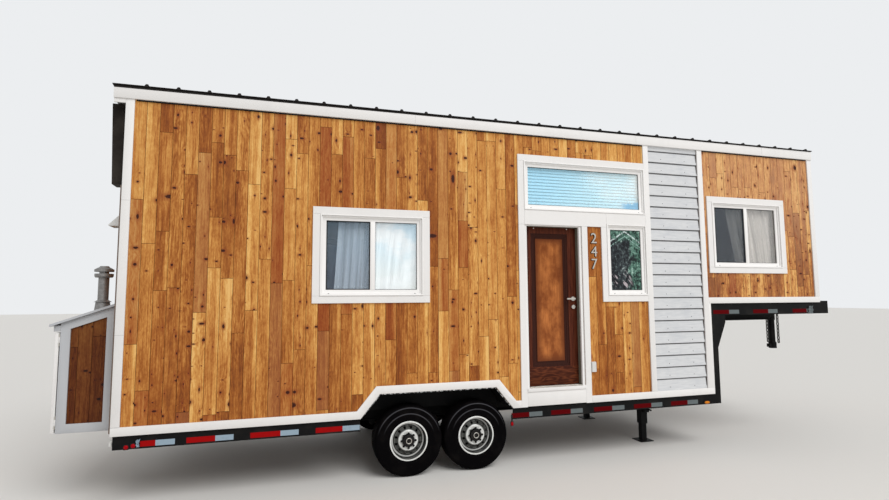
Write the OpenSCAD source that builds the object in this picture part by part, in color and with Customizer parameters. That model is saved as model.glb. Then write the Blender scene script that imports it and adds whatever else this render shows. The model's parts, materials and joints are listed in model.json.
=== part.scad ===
// Tiny house on a gooseneck trailer.
// X runs along the house from the utility closet to the hitch, Y from the door side to the back, Z up.
// The sizes below start at the outer face of the boards on the rear end (X) and on the door side (Y).
// The finished model is moved so that its origin is on the ground under the middle of its box.

/* [House body] */
// Length of the house at roof level, over the boards
house_l = 8920; // [8700:10:9200]
// Length of the lower body, up to the raised front
body_l = 6975; // [6900:5:7100]
// Width over the boards
house_w = 2540; // [2400:10:2600]
// Height of the fascia's top edge on the door side
eave_z = 4076; // [4000:2:4200]
// Fall of the roof from the door side to the back
roof_fall = 300; // [150:10:400]
// Thickness of the framed wall behind the boards
frame_t = 125; // [90:5:150]
// Thickness of the cladding boards
clad_t = 15; // [10:1:20]
// Thickness of the roof deck and its insulation
deck_t = 110; // [90:5:130]
// Height of the finished floor above the ground
floor_z = 860; // [850:1:900]
// Thickness of the floor
floor_t = 165; // [140:5:190]
// Height of the raised front's underside trim above the ground
neck_z = 1863; // [1800:1:1950]
// Thickness of the raised front's floor
neck_floor_t = 120; // [90:5:150]

/* [White boards] */
// Thickness of the boards that stand on the cladding
trim_t = 18; // [12:1:25]
// Width of the corner, skirt and window boards
trim_w = 79; // [60:1:100]
// Height of the fascia boards
fascia_h = 124; // [90:1:150]
// Thickness of the fascia boards
fascia_t = 30; // [20:1:40]
// Overhang of the roof past the rear end
rake_over = 125; // [80:5:200]
// Depth of the skirt board below the floor's underside
skirt_drop = 19; // [10:1:40]

/* [Metal roof] */
// Thickness of the roofing sheet
sheet_t = 8; // [4:1:15]
// Height of a roofing rib
rib_h = 20; // [12:1:30]
// Width of a roofing rib at its foot
rib_w = 46; // [30:1:70]
// Spacing of the roofing ribs
rib_pitch = 289; // [230:1:400]
// Distance of the first rib from the rear end
rib_x = 167; // [120:1:230]

/* [Entry] */
// Clear width of the doorway
door_w = 712; // [650:2:800]
// Height of the sill's top above the ground
sill_z = 890; // [880:1:930]
// Clear height of the doorway above the sill
door_h = 1936; // [1850:2:1980]
// Distance from the doorway's right side to the lap siding's left board
door_gap = 980; // [900:5:1020]
// Width of the door frame seen beside the doorway
jamb_w = 34; // [25:1:45]
// Thickness of the door leaf
leaf_t = 44; // [36:1:50]
// Depth of the door's outer face behind the cladding
leaf_recess = 88; // [70:1:100]
// Gap between the door leaf and its frame
leaf_gap = 5; // [5:1:8]
// Width of the door's stile on the hinge side
hinge_stile = 100; // [70:1:130]
// Width of the door's stile on the lever side
lever_stile = 125; // [100:1:150]
// Height of the door's bottom rail
bottom_rail = 225; // [150:1:300]
// Height of the door's top rail
top_rail = 88; // [70:1:140]
// Width of the moulding around the door's panel
mould_w = 64; // [40:1:80]
// Height of the lever above the sill
lever_z = 1048; // [950:2:1150]
// Height of the transom window's lower edge
transom_z = 3021; // [3010:1:3060]
// Height of the transom window
transom_h = 603; // [520:1:640]

/* [Lap siding] */
// Width of the lap siding between its two white boards
lap_w = 785; // [700:5:850]
// Height of one lap
lap_pitch = 149.2; // [120:0.1:200]
// Distance of the lap siding's right board from the lower body's front edge
lap_inset = 13; // [8:1:20]

/* [Windows] */
// Distance of the side window from the rear end
side_win_x = 1882; // [1700:2:2100]
// Height of the side window's lower edge
side_win_z = 1986; // [1900:2:2100]
// Width of the side window
side_win_w = 1140; // [900:2:1300]
// Height of the side window
side_win_h = 885; // [700:2:1000]
// Width of the small window beside the door
small_win_w = 587; // [500:1:600]
// Height of the small window's lower edge
small_win_z = 1976; // [1900:2:2100]
// Height of the small window
small_win_h = 903; // [700:1:905]
// Distance of the front window from the lower body's front edge
neck_win_x = 114; // [100:1:200]
// Height of the front window's lower edge
neck_win_z = 2350; // [2250:2:2450]
// Distance of the front window from the front end
neck_win_end = 638; // [500:1:800]
// Height of the front window
neck_win_h = 892; // [700:2:950]
// Width of a window's frame and sash seen around its glass
win_face = 66; // [50:1:80]
// Width of a window's outer frame seen around its sashes
win_frame = 30; // [20:1:45]
// Width of the mullion between two sashes
mullion_w = 54; // [40:1:80]
// Depth of a window frame in the wall
win_depth = 90; // [60:1:100]
// Distance that a window frame stands out from the cladding
win_proud = 8; // [2:1:15]
// Depth of a window's sash behind the cladding
sash_in = 8; // [4:1:20]
// Thickness of a window's sash
sash_t = 40; // [30:1:50]
// Thickness of a window's glass
glass_t = 6; // [4:1:12]

/* [Wheel arch] */
// Distance of the middle of the wheel arch from the rear end
arch_x = 3215; // [3100:5:3250]
// Length of the level top of the arch opening
arch_l = 1355; // [1300:5:1400]
// Height of the arch opening's top above the ground
arch_top = 927; // [900:1:960]
// Run of the arch's slanted ends
arch_run = 208; // [150:1:240]
// Depth of the wheel well into the house
well_w = 400; // [370:5:450]
// Thickness of the wheel well's sheet
well_t = 6; // [4:1:10]

/* [Wheels] */
// Outer diameter of a tyre
tyre_d = 770; // [740:2:780]
// Width of a tyre
tyre_w = 235; // [205:1:245]
// Diameter of the rim's outer edge
rim_d = 430; // [400:1:450]
// Spacing of the two axles
axle_pitch = 790; // [785:1:830]
// Depth of the tyre's outer side behind the cladding
tyre_inset = 60; // [40:1:90]
// Diameter of an axle tube
axle_d = 76; // [60:1:90]
// Length of a leaf spring between its eyes
spring_l = 680; // [620:10:720]
// Width of a spring leaf
spring_w = 56; // [45:1:64]
// Thickness of a spring leaf
spring_t = 9; // [7:0.5:12]
// Rise of the spring's ends above its middle
spring_rise = 60; // [50:1:75]
// Number of leaves in a spring
spring_leaves = 4; // [3:1:6]
// Diameter of a brake's backing plate
brake_d = 310; // [280:5:330]
// Diameter of a wheel spindle
spindle_d = 45; // [35:1:55]
// Radial clearance of the hub on its spindle
spindle_gap = 0.05; // [0.02:0.01:0.1]
// Number of wheel nuts
nuts = 8; // [5:1:10]
// Number of hand holes in a wheel disc
hand_holes = 12; // [8:1:14]

/* [Trailer] */
// Height of the trailer's rails
rail_h = 150; // [130:2:160]
// Width of the rails' flanges
rail_flange = 60; // [45:1:75]
// Thickness of the rails' steel
steel_t = 8; // [6:1:12]
// Depth of the side rail's outer face behind the cladding
rail_inset = 10; // [5:1:20]
// Distance of the main beams from the cladding
beam_inset = 560; // [540:5:650]
// Spacing of the cross members
cross_pitch = 620; // [550:5:750]
// Height of the neck's side beams
neck_beam_h = 180; // [150:2:190]
// Height of the neck's two middle beams, which hang under its cross members
neck_main_h = 200; // [150:2:220]
// Distance of the middle beams' front ends behind the front wall
neck_main_end = 60; // [20:5:200]
// Length of a neck beam past the front wall
neck_over = 192; // [150:2:250]
// Length of a riser column along the house
riser_l = 112; // [90:1:130]
// Length of the triangular plate under the neck, ahead of the riser column
gusset_l = 139; // [110:1:145]
// Height of that plate at the riser column
gusset_h = 430; // [350:5:480]
// Height of that plate at its front
gusset_tip_h = 95; // [60:5:140]
// Thickness of that plate
gusset_t = 12; // [8:1:16]
// Distance of the hitch coupler ahead of the front wall
coupler_x = 530; // [480:5:560]
// Diameter of the coupler's outer tube
coupler_d = 114; // [100:1:130]
// Length of the coupler below the neck
coupler_drop = 620; // [560:10:700]
// Radius of the hitch ball socket
socket_r = 30; // [25:0.5:35]
// Distance of the landing legs behind the lower body's front edge
leg_back = 700; // [600:5:900]
// Width of a landing leg's inner tube
leg_w = 74; // [60:1:90]
// Width of a landing leg's foot
leg_foot = 200; // [150:5:250]

/* [Utility closet] */
// Depth of the closet out from the rear end
closet_d = 564; // [450:2:650]
// Width of the closet
closet_w = 1000; // [900:5:1200]
// Distance of the closet from the door side
closet_y = 300; // [200:5:450]
// Height of the closet's outer top edge above the ground
closet_h = 1732; // [1600:2:1850]
// Rise of the closet's roof for each unit of its depth
closet_slope = 0.356; // [0.2:0.01:0.5]
// Thickness of the closet's framed sides
closet_t = 50; // [35:1:70]
// Thickness of the closet's roof
closet_roof_t = 22; // [16:1:45]
// Overhang of the closet's roof
closet_over = 86; // [50:1:120]
// Thickness of the closet's door
closet_door_t = 32; // [25:1:45]
// Gap behind the closet's door
closet_gap = 12; // [8:1:20]
// Diameter of the vent pipe
vent_d = 98; // [80:1:130]
// Height of the vent pipe above the closet's roof
vent_h = 450; // [350:5:600]
// Distance of the vent pipe from the closet's near side
vent_in = 190; // [120:5:400]
// Distance of the vent pipe from the rear end
vent_out = 274; // [150:2:400]

/* [Fittings] */
// Height of the dark service box under the rear overhang
box_h = 820; // [600:5:1000]
// Width of the service box
box_w = 170; // [120:5:300]
// Reach of the service box from the wall at its top
box_out = 160; // [126:2:200]
// Distance of the vent hood from the door side
hood_y = 150; // [120:5:400]
// Height of the vent hood's top above the ground
hood_z = 2880; // [2600:5:2950]
// Width of the vent hood
hood_w = 200; // [150:5:260]
// Reach of the vent hood from the wall
hood_out = 164; // [120:2:200]
// Height of the vent hood's slope
hood_h = 175; // [120:5:220]
// Height of the outlet box's lower edge above the doorsill
outlet_z = 155; // [100:5:400]
// Width of the outlet box
outlet_w = 57; // [50:1:80]
// Height of the outlet box
outlet_h = 121; // [100:1:140]
// Depth of the outlet box
outlet_t = 32; // [25:1:50]

/* [Hidden] */
$fn = 64;
seat = 0.3;
let_in = 1;

// Outer faces and levels that the pieces share
wall_t = frame_t + clad_t;
under_floor = floor_z - floor_t;
skirt_z = under_floor - skirt_drop;
skirt_top = skirt_z + trim_w + 3;
neck_floor_z = neck_z + skirt_drop;
neck_top = neck_floor_z + neck_floor_t;
neck_beam_z = neck_floor_z - neck_beam_h;
rail_z = under_floor - rail_h;
axle_z = tyre_d / 2;
fascia_z = eave_z - fascia_h;
roof_angle = atan(roof_fall / house_w);

// Height of the deck's top and underside at a distance from the door side
function roof_top(y) = eave_z - roof_fall * y / house_w;
function roof_under(y) = roof_top(y) - deck_t;

// Height of the walls' tops, just under the deck
function wall_top(y) = roof_under(y) - seat;

// Places along the front of the lower body
lap_x1 = body_l - lap_inset;
lap_x0 = lap_x1 - 2 * trim_w - 6 - lap_w;
lap_top = fascia_z - 46;
laps = floor((lap_top - skirt_top) / lap_pitch);
function lap_z(i) = skirt_top + i * lap_pitch;
door_x1 = lap_x0 - door_gap;
door_x0 = door_x1 - door_w;
door_top = sill_z + door_h;
entry_x0 = door_x0 - jamb_w - trim_w;
entry_x1 = door_x1 + jamb_w + trim_w;
header_z = door_top + 13;
small_win_x = lap_x0 - small_win_w;
transom_x = door_x0 - jamb_w;
transom_w = lap_x0 - transom_x;
neck_x = body_l + neck_win_x;
neck_win_w = house_l - neck_win_end - neck_x;

// Springs
spring_step = spring_l * 0.19;
eye_d = 34;
eye_z = axle_z + axle_d / 2 + seat + (spring_leaves - 1) * (spring_t - 1) + spring_rise - eye_d / 2 + spring_t;
rocker_w = axle_pitch - spring_l + eye_d + 8;

// Wheel arch
arch_x0 = arch_x - arch_l / 2;
arch_x1 = arch_x + arch_l / 2;
arch_rise = arch_top - skirt_z;
arch_angle = atan(arch_rise / arch_run);
axle_mid = arch_x + 57;
axle_xs = [axle_mid - axle_pitch / 2, axle_mid + axle_pitch / 2];
well_x0 = arch_side(-1, skirt_z, 0);
well_x1 = arch_side(1, skirt_z, 0);

// Position of one slanted side of the arch at a height, grown square to the slope
function arch_side(s, z, grow) =
    arch_x + s * (arch_l / 2 + (arch_top - z) / tan(arch_angle) + grow / sin(arch_angle));

// Trailer places
beam_y = beam_inset;
beam_flange = 100;
cross_w = 50;
cross_h = 80;
head_w = 60;
riser_x0 = body_l + trim_t + 2;
riser_x1 = riser_x0 + riser_l;
neck_end = house_l + neck_over;
hitch_x = house_l + coupler_x;
nose_l = 90;
leg_x = body_l - leg_back;

// Closet places
closet_slant = atan(closet_slope);
function closet_top(x) = closet_h + closet_slope * (x + closet_d);
closet_y1 = closet_y + closet_w;
closet_door_x = -closet_d - closet_gap;
closet_door_z0 = skirt_z + 4;
closet_door_z1 = closet_h - 90;
vent_x = -vent_out;
vent_y = closet_y + vent_in;
vent_cut = 400;

// Middle of the model's box
model_x0 = -closet_d - closet_over;
model_x1 = hitch_x + nose_l;
rib_lean = (sheet_t + rib_h) * sin(roof_angle);
middle = [(model_x0 + model_x1) / 2, (house_w + rib_lean) / 2, 0];

white = "#e9e6e3";
cedar = "#c98f57";
black_steel = "#1c1d20";
dark_metal = "#3a332e";
framing = "#d8c3a0";

// Hinges: the front door swings in, the closet door swings out
door_rabbet = 12;
knuckle_d = 12;
pin_d = 6;
hinge_h = 120;
hinge_x = door_x0 - 5;
hinge_y = leaf_recess + seat + leaf_t + knuckle_d / 2 + 2;
door_hinge_in = 190;
door_hinge_zs = [sill_z + door_hinge_in, sill_z + door_h / 2, door_top - door_hinge_in];
closet_pin_x = -closet_d - knuckle_d / 2 - 1;
closet_pin_y = closet_y - trim_t + 4;
closet_hinge_zs = [closet_door_z0 + 100, closet_door_z1 - 70];

// Top of the closet's roof at a distance from the rear end
function closet_roof_z(x) = closet_top(x) + closet_roof_t / cos(closet_slant);

// A block between two corners
module block(xs, ys, zs) {
    translate([xs[0], ys[0], zs[0]])
        cube([xs[1] - xs[0], ys[1] - ys[0], zs[1] - zs[0]]);
}

// A plate drawn in X and Z that fills Y from y0 to y1
module plate_y(y0, y1) {
    translate([0, y1, 0]) rotate([90, 0, 0]) linear_extrude(y1 - y0) children();
}

// A prism drawn in Y and Z that fills X from x0 to x1
module prism_x(x0, x1) {
    translate([x0, 0, 0]) rotate([90, 0, 90]) linear_extrude(x1 - x0) children();
}

// The door side's pieces, and the same ones turned over to the back
module back_side() {
    translate([0, house_w, 0]) mirror([0, 1, 0]) children();
}

module both_sides() {
    children();
    back_side() children();
}

// A rectangle between two corners of a drawing
module field(us, vs) {
    translate([us[0], vs[0]]) square([us[1] - us[0], vs[1] - vs[0]]);
}

// A flat ring between two rectangles, the inner one smaller by an edge
module ring(u, v, w, h, edge) {
    difference() {
        translate([u, v]) square([w, h]);
        translate([u + edge, v + edge]) square([w - 2 * edge, h - 2 * edge]);
    }
}

// The wheel arch's outline, grown square to its sides, down to a height
module arch_outline(grow, z) {
    polygon([
        [arch_side(-1, z, grow), z],
        [arch_side(-1, arch_top + grow, grow), arch_top + grow],
        [arch_side(1, arch_top + grow, grow), arch_top + grow],
        [arch_side(1, z, grow), z]]);
}

// A length of side wall whose top follows the roof
module wall_run(x0, x1, z0) {
    y1 = wall_t;
    prism_x(x0, x1)
        polygon([[clad_t, z0], [y1, z0], [y1, wall_top(y1)], [clad_t, wall_top(clad_t)]]);
}

// A cross wall between the side walls
module cross_wall(x0, z0) {
    y0 = wall_t;
    y1 = house_w - wall_t;
    prism_x(x0, x0 + frame_t)
        polygon([[y0, z0], [y1, z0], [y1, wall_top(y1)], [y0, wall_top(y0)]]);
}

// The space that a window takes in a wall
module window_hole(x, z, w, h) {
    block([x, x + w], [-trim_t, wall_t + 1], [z, z + h]);
}

// I-beam and channel sections, drawn from their lower corner
module channel_section(h, flange) {
    difference() {
        square([flange, h]);
        translate([steel_t, steel_t]) square([flange, h - 2 * steel_t]);
    }
}

module beam_section(h, flange) {
    square([flange, steel_t]);
    translate([0, h - steel_t]) square([flange, steel_t]);
    translate([(flange - steel_t) / 2, 0]) square([steel_t, h]);
}

module side_rail(x0, x1, z, h) {
    prism_x(x0, x1) translate([rail_inset, z]) channel_section(h, rail_flange);
}

// The channels along both sides, broken at the wheel wells
module side_rails() {
    end = riser_x1 - head_w - seat;
    color(black_steel) both_sides() {
        side_rail(0, well_x0 - 2, rail_z, rail_h);
        side_rail(well_x1 + 2, end, rail_z, rail_h);
    }
}

// The two I-beams that carry the springs and the legs
module main_beams() {
    color(black_steel) both_sides() prism_x(0, riser_x1 - head_w - seat)
        translate([beam_y - beam_flange / 2, rail_z]) beam_section(rail_h, beam_flange);
}

// Cross members between the beams, outriggers from the beams to the rails, and the head member
module cross_members() {
    ladder_l = body_l - 60;
    steps = floor(ladder_l / cross_pitch);
    zs = [under_floor - steel_t - cross_h - seat, under_floor - steel_t - seat];
    inner_y = beam_y + steel_t / 2 + seat;
    color(black_steel) {
        for (i = [0:steps]) let (x = 30 + i * ladder_l / steps, xs = [x - cross_w / 2, x + cross_w / 2]) {
            at_wheels = x > well_x0 - 40 && x < well_x1 + 40;
            if (xs[1] < riser_x1 - head_w - 1) {
                block(xs, [inner_y, house_w - inner_y], zs);
                if (!at_wheels) both_sides()
                    block(xs, [rail_inset + steel_t + seat, beam_y - steel_t / 2 - seat], zs);
            }
        }
        block([riser_x1 - head_w, riser_x1], [rail_inset, house_w - rail_inset],
            [rail_z, under_floor]);
    }
}

// One side of the neck: the riser column, its gusset and the long beam
module neck_side() {
    side_rail(riser_x0, neck_end, neck_beam_z, neck_beam_h);
    block([riser_x0, riser_x1], [rail_inset, rail_inset + 100], [under_floor, neck_beam_z + 1]);
    plate_y(rail_inset, rail_inset + gusset_t)
        polygon([
            [riser_x1 - 1, neck_beam_z - gusset_h],
            [riser_x1 + gusset_l, neck_beam_z - gusset_tip_h],
            [riser_x1 + gusset_l, neck_beam_z + 1],
            [riser_x1 - 1, neck_beam_z + 1]]);
}

module gooseneck_frame() {
    mid = house_w / 2;
    nose_w = 300;
    color(black_steel) union() {
        both_sides() neck_side();
        for (x = [riser_x0 + 30 : cross_pitch * 0.85 : neck_end - 200])
            block([x - cross_w / 2, x + cross_w / 2],
                [rail_inset + steel_t / 2, house_w - rail_inset - steel_t / 2],
                [neck_floor_z - cross_h, neck_floor_z]);
        block([neck_end - head_w, neck_end], [rail_inset, house_w - rail_inset],
            [neck_beam_z, neck_floor_z]);
        difference() {
            translate([0, 0, neck_beam_z]) linear_extrude(neck_beam_h)
                polygon([
                    [neck_end - head_w, mid - nose_w], [neck_end - head_w, mid + nose_w],
                    [hitch_x + nose_l, mid + nose_w / 2], [hitch_x + nose_l, mid - nose_w / 2]]);
            translate([0, 0, neck_beam_z - 1]) linear_extrude(neck_beam_h - 11)
                polygon([
                    [neck_end, mid - nose_w + 30], [neck_end, mid + nose_w - 30],
                    [hitch_x + nose_l - 12, mid + nose_w / 2 - 10],
                    [hitch_x + nose_l - 12, mid - nose_w / 2 + 10]]);
            translate([hitch_x, mid, neck_beam_z - 1])
                cylinder(d = coupler_d + 2 * seat, h = neck_beam_h + 2);
        }
    }
}

// The two I-beams under the neck, cut back to a slant at the front, and their columns
module neck_beams() {
    z1 = neck_floor_z - cross_h - seat;
    z0 = z1 - neck_main_h;
    x1 = house_l - neck_main_end;
    slant = 260;
    color(black_steel) both_sides() {
        difference() {
            prism_x(riser_x0, x1) translate([beam_y - beam_flange / 2, z0])
                beam_section(neck_main_h, beam_flange);
            plate_y(beam_y - beam_flange, beam_y + beam_flange)
                polygon([[x1 - slant, z0 - 1], [x1 + 1, z0 - 1], [x1 + 1, z1 - steel_t]]);
        }
        block([riser_x0, riser_x1], [beam_y - beam_flange / 2, beam_y + beam_flange / 2],
            [under_floor + seat, z0 - seat]);
    }
}

// The hitch: an outer tube in the nose, a sliding inner tube and the ball socket
module hitch_coupler() {
    top = neck_floor_z - 12;
    foot = neck_beam_z - coupler_drop;
    inner_d = coupler_d - 20;
    cup_d = 2 * socket_r + 60;
    cup_h = 95;
    color(black_steel) translate([hitch_x, house_w / 2, 0]) difference() {
        union() {
            translate([0, 0, neck_beam_z - 150]) cylinder(d = coupler_d, h = top - neck_beam_z + 150);
            translate([0, 0, foot + cup_h - 1]) cylinder(d = inner_d, h = coupler_drop - cup_h - 100);
            translate([0, 0, foot]) cylinder(d = cup_d, h = cup_h);
            translate([0, 0, foot + cup_h - 10]) cylinder(d1 = cup_d, d2 = inner_d, h = 30);
            translate([-cup_d / 2 - 34, -30, foot + 20]) cube([40, 60, 55]);
            for (z = [foot + 160 : 60 : neck_beam_z - 170])
                translate([0, 0, z]) rotate([90, 0, 0]) cylinder(d = 14, h = inner_d + 10, center = true);
        }
        translate([0, 0, foot - 1]) cylinder(r = socket_r, h = 61);
    }
}

// The axle tubes with their spindles, and the brakes' backing plates inside the rims
module axles() {
    brake_y = tyre_inset + 190;
    tube_y = brake_y + 40;
    spindle_y = tyre_inset + 52;
    color(black_steel) for (x = axle_xs) translate([x, 0, axle_z]) rotate([-90, 0, 0]) union() {
        translate([0, 0, tube_y]) cylinder(d = axle_d, h = house_w - 2 * tube_y);
        translate([0, 0, spindle_y]) cylinder(d = spindle_d, h = house_w - 2 * spindle_y);
        for (y = [brake_y, house_w - brake_y - 8]) translate([0, 0, y]) {
            cylinder(d = brake_d, h = 8);
            translate([0, 0, y < brake_y + 1 ? 7 : -34]) cylinder(d = axle_d + 50, h = 35);
        }
    }
}

// One leaf of a spring: an arc between two ends, hanging below its crown
module leaf(len, rise, z, t, w) {
    r = (len * len / 4 + rise * rise) / (2 * rise);
    intersection() {
        translate([0, 0, z + r]) rotate([90, 0, 0]) difference() {
            cylinder(r = r, h = w, center = true, $fn = 160);
            cylinder(r = r - t, h = w + 2, center = true, $fn = 160);
        }
        translate([-len / 2, -w / 2, z - 1]) cube([len, w, rise + t + 1]);
    }
}

// One axle's spring: its leaves, clamp, tie plate, four bolts and the eyes at its ends
module spring_pack() {
    seat_z = axle_z + axle_d / 2 + seat;
    clamp_z = seat_z + spring_leaves * (spring_t - 1);
    bolt_d = 14;
    bolt_x = axle_d / 2 + bolt_d / 2 + seat;
    bolt_y = spring_w / 2 + bolt_d / 2;
    tie_z = axle_z - axle_d / 2 - seat - 12;
    for (i = [0:spring_leaves - 1]) let (len = spring_l - (spring_leaves - 1 - i) * spring_step)
        leaf(len, spring_rise * pow(len / spring_l, 2), seat_z + i * (spring_t - 1), spring_t,
            spring_w);
    for (z = [[clamp_z - 2, clamp_z + 12], [tie_z, tie_z + 12]])
        block([-bolt_x - bolt_d, bolt_x + bolt_d], [-bolt_y - bolt_d, bolt_y + bolt_d], z);
    for (x = [-bolt_x, bolt_x], y = [-bolt_y, bolt_y]) translate([x, y, tie_z - 16]) {
        cylinder(d = bolt_d, h = clamp_z + 40 - tie_z);
        cylinder(d = bolt_d + 9, h = 12);
        translate([0, 0, clamp_z + 28 - tie_z]) cylinder(d = bolt_d + 9, h = 12);
    }
    for (s = [-1, 1]) translate([s * spring_l / 2, 0, eye_z]) rotate([90, 0, 0])
        cylinder(d = eye_d, h = spring_w, center = true);
}

// Two cheeks that hang from the beam and hold a pin; w is their width at the beam
module hanger(w, z) {
    cheek_t = 8;
    for (s = [-1, 1])
        plate_y(s * (spring_w / 2 + cheek_t / 2 + seat) - cheek_t / 2,
            s * (spring_w / 2 + cheek_t / 2 + seat) + cheek_t / 2) union() {
            polygon([[-w / 2, rail_z - seat], [w / 2, rail_z - seat], [eye_d / 2, z], [-eye_d / 2, z]]);
            translate([0, z]) circle(d = eye_d);
        }
    translate([0, 0, z]) rotate([90, 0, 0])
        cylinder(d = 16, h = spring_w + 2 * cheek_t + 24, center = true);
}

// Leaf springs on both axles, with their hangers and the rocker between them
module springs() {
    pivot_z = eye_z + 14;
    color(black_steel) both_sides() translate([0, beam_y, 0]) union() {
        for (x = axle_xs) translate([x, 0, 0]) spring_pack();
        translate([axle_xs[0] - spring_l / 2, 0, 0]) hanger(90, eye_z);
        translate([axle_xs[1] + spring_l / 2, 0, 0]) hanger(90, eye_z);
        translate([axle_mid, 0, 0]) hanger(110, pivot_z);
        translate([axle_mid, 0, 0]) plate_y(-spring_w / 2 + seat, spring_w / 2 - seat) difference() {
            polygon([[-rocker_w / 2, eye_z - 14], [rocker_w / 2, eye_z - 14],
                [rocker_w / 2, eye_z + 10], [24, pivot_z + 20], [-24, pivot_z + 20],
                [-rocker_w / 2, eye_z + 10]]);
            translate([0, eye_z - 16]) circle(d = 34);
        }
    }
}

// Half of a section, drawn with rounded corners from arcs
module rounded_field(us, vs, r) {
    field([us[0] + r, us[1] - r], vs);
    field(us, [vs[0] + r, vs[1] - r]);
    for (u = [us[0] + r, us[1] - r], v = [vs[0] + r, vs[1] - r])
        translate([u, v]) circle(r = r);
}

// A wheel lies on its side here, with its outer face down at Z = 0
module tyre_solid() {
    r = tyre_d / 2;
    bead = rim_d / 2 - 12;
    wall = 30;
    bead_in = 14 + seat;
    groove_w = 11;
    rotate_extrude($fn = 128) difference() {
        rounded_field([bead, r], [0, tyre_w], 38);
        rounded_field([bead - 60, r - 24], [wall, tyre_w - wall], 26);
        field([bead - 1, rim_d / 2 + 1], [-1, bead_in]);
        field([bead - 1, rim_d / 2 + 1], [tyre_w - bead_in, tyre_w + 1]);
        for (z = [0.24, 0.41, 0.59, 0.76] * tyre_w)
            translate([r - 9, z - groove_w / 2]) square([12, groove_w]);
    }
}

module rim_solid() {
    r = rim_d / 2;
    bead = r - 12;
    barrel = bead - 14;
    t = 6;
    lip = 4;
    disc_z = 70;
    hub_r = 66;
    hole_r = 13;
    difference() {
        union() {
            rotate_extrude($fn = 96) {
                field([bead - t, bead - seat], [14, tyre_w - 14]);
                for (z = [6, tyre_w - 14]) {
                    field([bead - t, r - lip], [z, z + 2 * lip]);
                    translate([r - lip, z + lip]) circle(r = lip);
                }
                polygon([
                    [hub_r, disc_z - 22], [hub_r + 40, disc_z - 30], [barrel - 40, disc_z - 2],
                    [bead - t + 1, disc_z + 12], [bead - t + 1, disc_z + 20], [barrel - 44, disc_z + 8],
                    [hub_r + 38, disc_z - 21], [hub_r, disc_z - 13]]);
                field([spindle_d / 2 + spindle_gap, hub_r], [disc_z - 22, disc_z + 110]);
            }
            translate([0, 0, disc_z - 62]) cylinder(r = 40, h = 42);
            for (a = [0:nuts - 1]) rotate(a * 360 / nuts)
                translate([hub_r + 16, 0, disc_z - 48]) cylinder(r = 11, h = 24);
        }
        for (a = [0:hand_holes - 1]) rotate((a + 0.5) * 360 / hand_holes)
            translate([barrel - 52, 0, disc_z - 40]) cylinder(r = hole_r, h = 80);
        translate([0, 0, disc_z - 21]) cylinder(r = spindle_d / 2 + spindle_gap, h = 200);
    }
}

// Puts a wheel piece on an axle, outer face to the door side or to the back
module on_axle(i, back) {
    place_y = back ? house_w - tyre_inset : tyre_inset;
    translate([axle_xs[i], place_y, axle_z]) rotate([back ? 90 : -90, 0, 0]) children();
}

module wheel_wells() {
    color(black_steel) both_sides() {
        plate_y(clad_t + seat, well_w) difference() {
            arch_outline(0, skirt_z);
            arch_outline(-well_t, skirt_z - 1);
        }
        plate_y(well_w, well_w + well_t) arch_outline(0, skirt_z);
    }
}

// The legs that carry the front of the parked house
module landing_legs() {
    outer_w = leg_w + 22;
    foot_t = 10;
    outer_z = rail_z * 0.42;
    flange_w = outer_w + 64;
    color(black_steel) both_sides() translate([leg_x, beam_y, 0]) union() {
        square_post(leg_foot, 0, foot_t);
        square_post(leg_w, foot_t - 1, outer_z + 80);
        square_post(outer_w, outer_z, rail_z - seat);
        square_post(flange_w, rail_z - 12, rail_z - seat);
        for (z = [foot_t + 40 : 50 : outer_z - 20]) translate([0, 0, z]) rotate([90, 0, 0])
            cylinder(d = 16, h = leg_w + 14, center = true);
        translate([0, -outer_w / 2 - 30, rail_z - 110]) cube([70, 62, 90], center = true);
        translate([0, -outer_w / 2 - 58, rail_z - 110]) rotate([90, 0, 0]) cylinder(d = 22, h = 90);
    }
}

// A square tube standing on end, between two heights
module square_post(w, z0, z1) {
    translate([-w / 2, -w / 2, z0]) cube([w, w, z1 - z0]);
}

module floor() {
    ys = [clad_t, house_w - clad_t];
    color(framing) {
        difference() {
            block([clad_t, body_l - clad_t], ys, [under_floor, floor_z]);
            both_sides() plate_y(0, well_w + well_t) arch_outline(seat, under_floor - 1);
        }
        block([body_l - clad_t, house_l - clad_t], ys, [neck_floor_z, neck_top]);
    }
}

module near_wall_rear() {
    color(framing) difference() {
        wall_run(clad_t, door_x0 - jamb_w, floor_z);
        plate_y(0, wall_t + 1) arch_outline(seat, under_floor);
        window_hole(side_win_x, side_win_z, side_win_w, side_win_h);
    }
}

module near_wall_over_door() {
    color(framing) difference() {
        wall_run(door_x0 - jamb_w, door_x1 + jamb_w, door_top + jamb_w);
        window_hole(transom_x, transom_z, transom_w, transom_h);
    }
}

module near_wall_front() {
    color(framing) difference() {
        wall_run(door_x1 + jamb_w, body_l - clad_t, floor_z);
        window_hole(transom_x, transom_z, transom_w, transom_h);
        window_hole(small_win_x, small_win_z, small_win_w, small_win_h);
    }
}

module near_wall_gooseneck() {
    color(framing) difference() {
        wall_run(body_l - clad_t, house_l - clad_t, neck_top);
        window_hole(neck_x, neck_win_z, neck_win_w, neck_win_h);
    }
}

// The back wall has the same windows, and neither door nor transom
module back_wall() {
    y0 = house_w - wall_t;
    y1 = house_w - clad_t;
    color(framing) difference() {
        union() {
            prism_x(clad_t, body_l - clad_t)
                polygon([[y0, floor_z], [y1, floor_z], [y1, wall_top(y1)], [y0, wall_top(y0)]]);
            prism_x(body_l - clad_t, house_l - clad_t)
                polygon([[y0, neck_top], [y1, neck_top], [y1, wall_top(y1)], [y0, wall_top(y0)]]);
        }
        back_side() {
            plate_y(0, wall_t + 1) arch_outline(seat, under_floor);
            window_hole(side_win_x, side_win_z, side_win_w, side_win_h);
            window_hole(small_win_x, small_win_z, small_win_w, small_win_h);
            window_hole(neck_x, neck_win_z, neck_win_w, neck_win_h);
        }
    }
}

module rear_wall() {
    color(framing) cross_wall(clad_t, floor_z);
}

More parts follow.
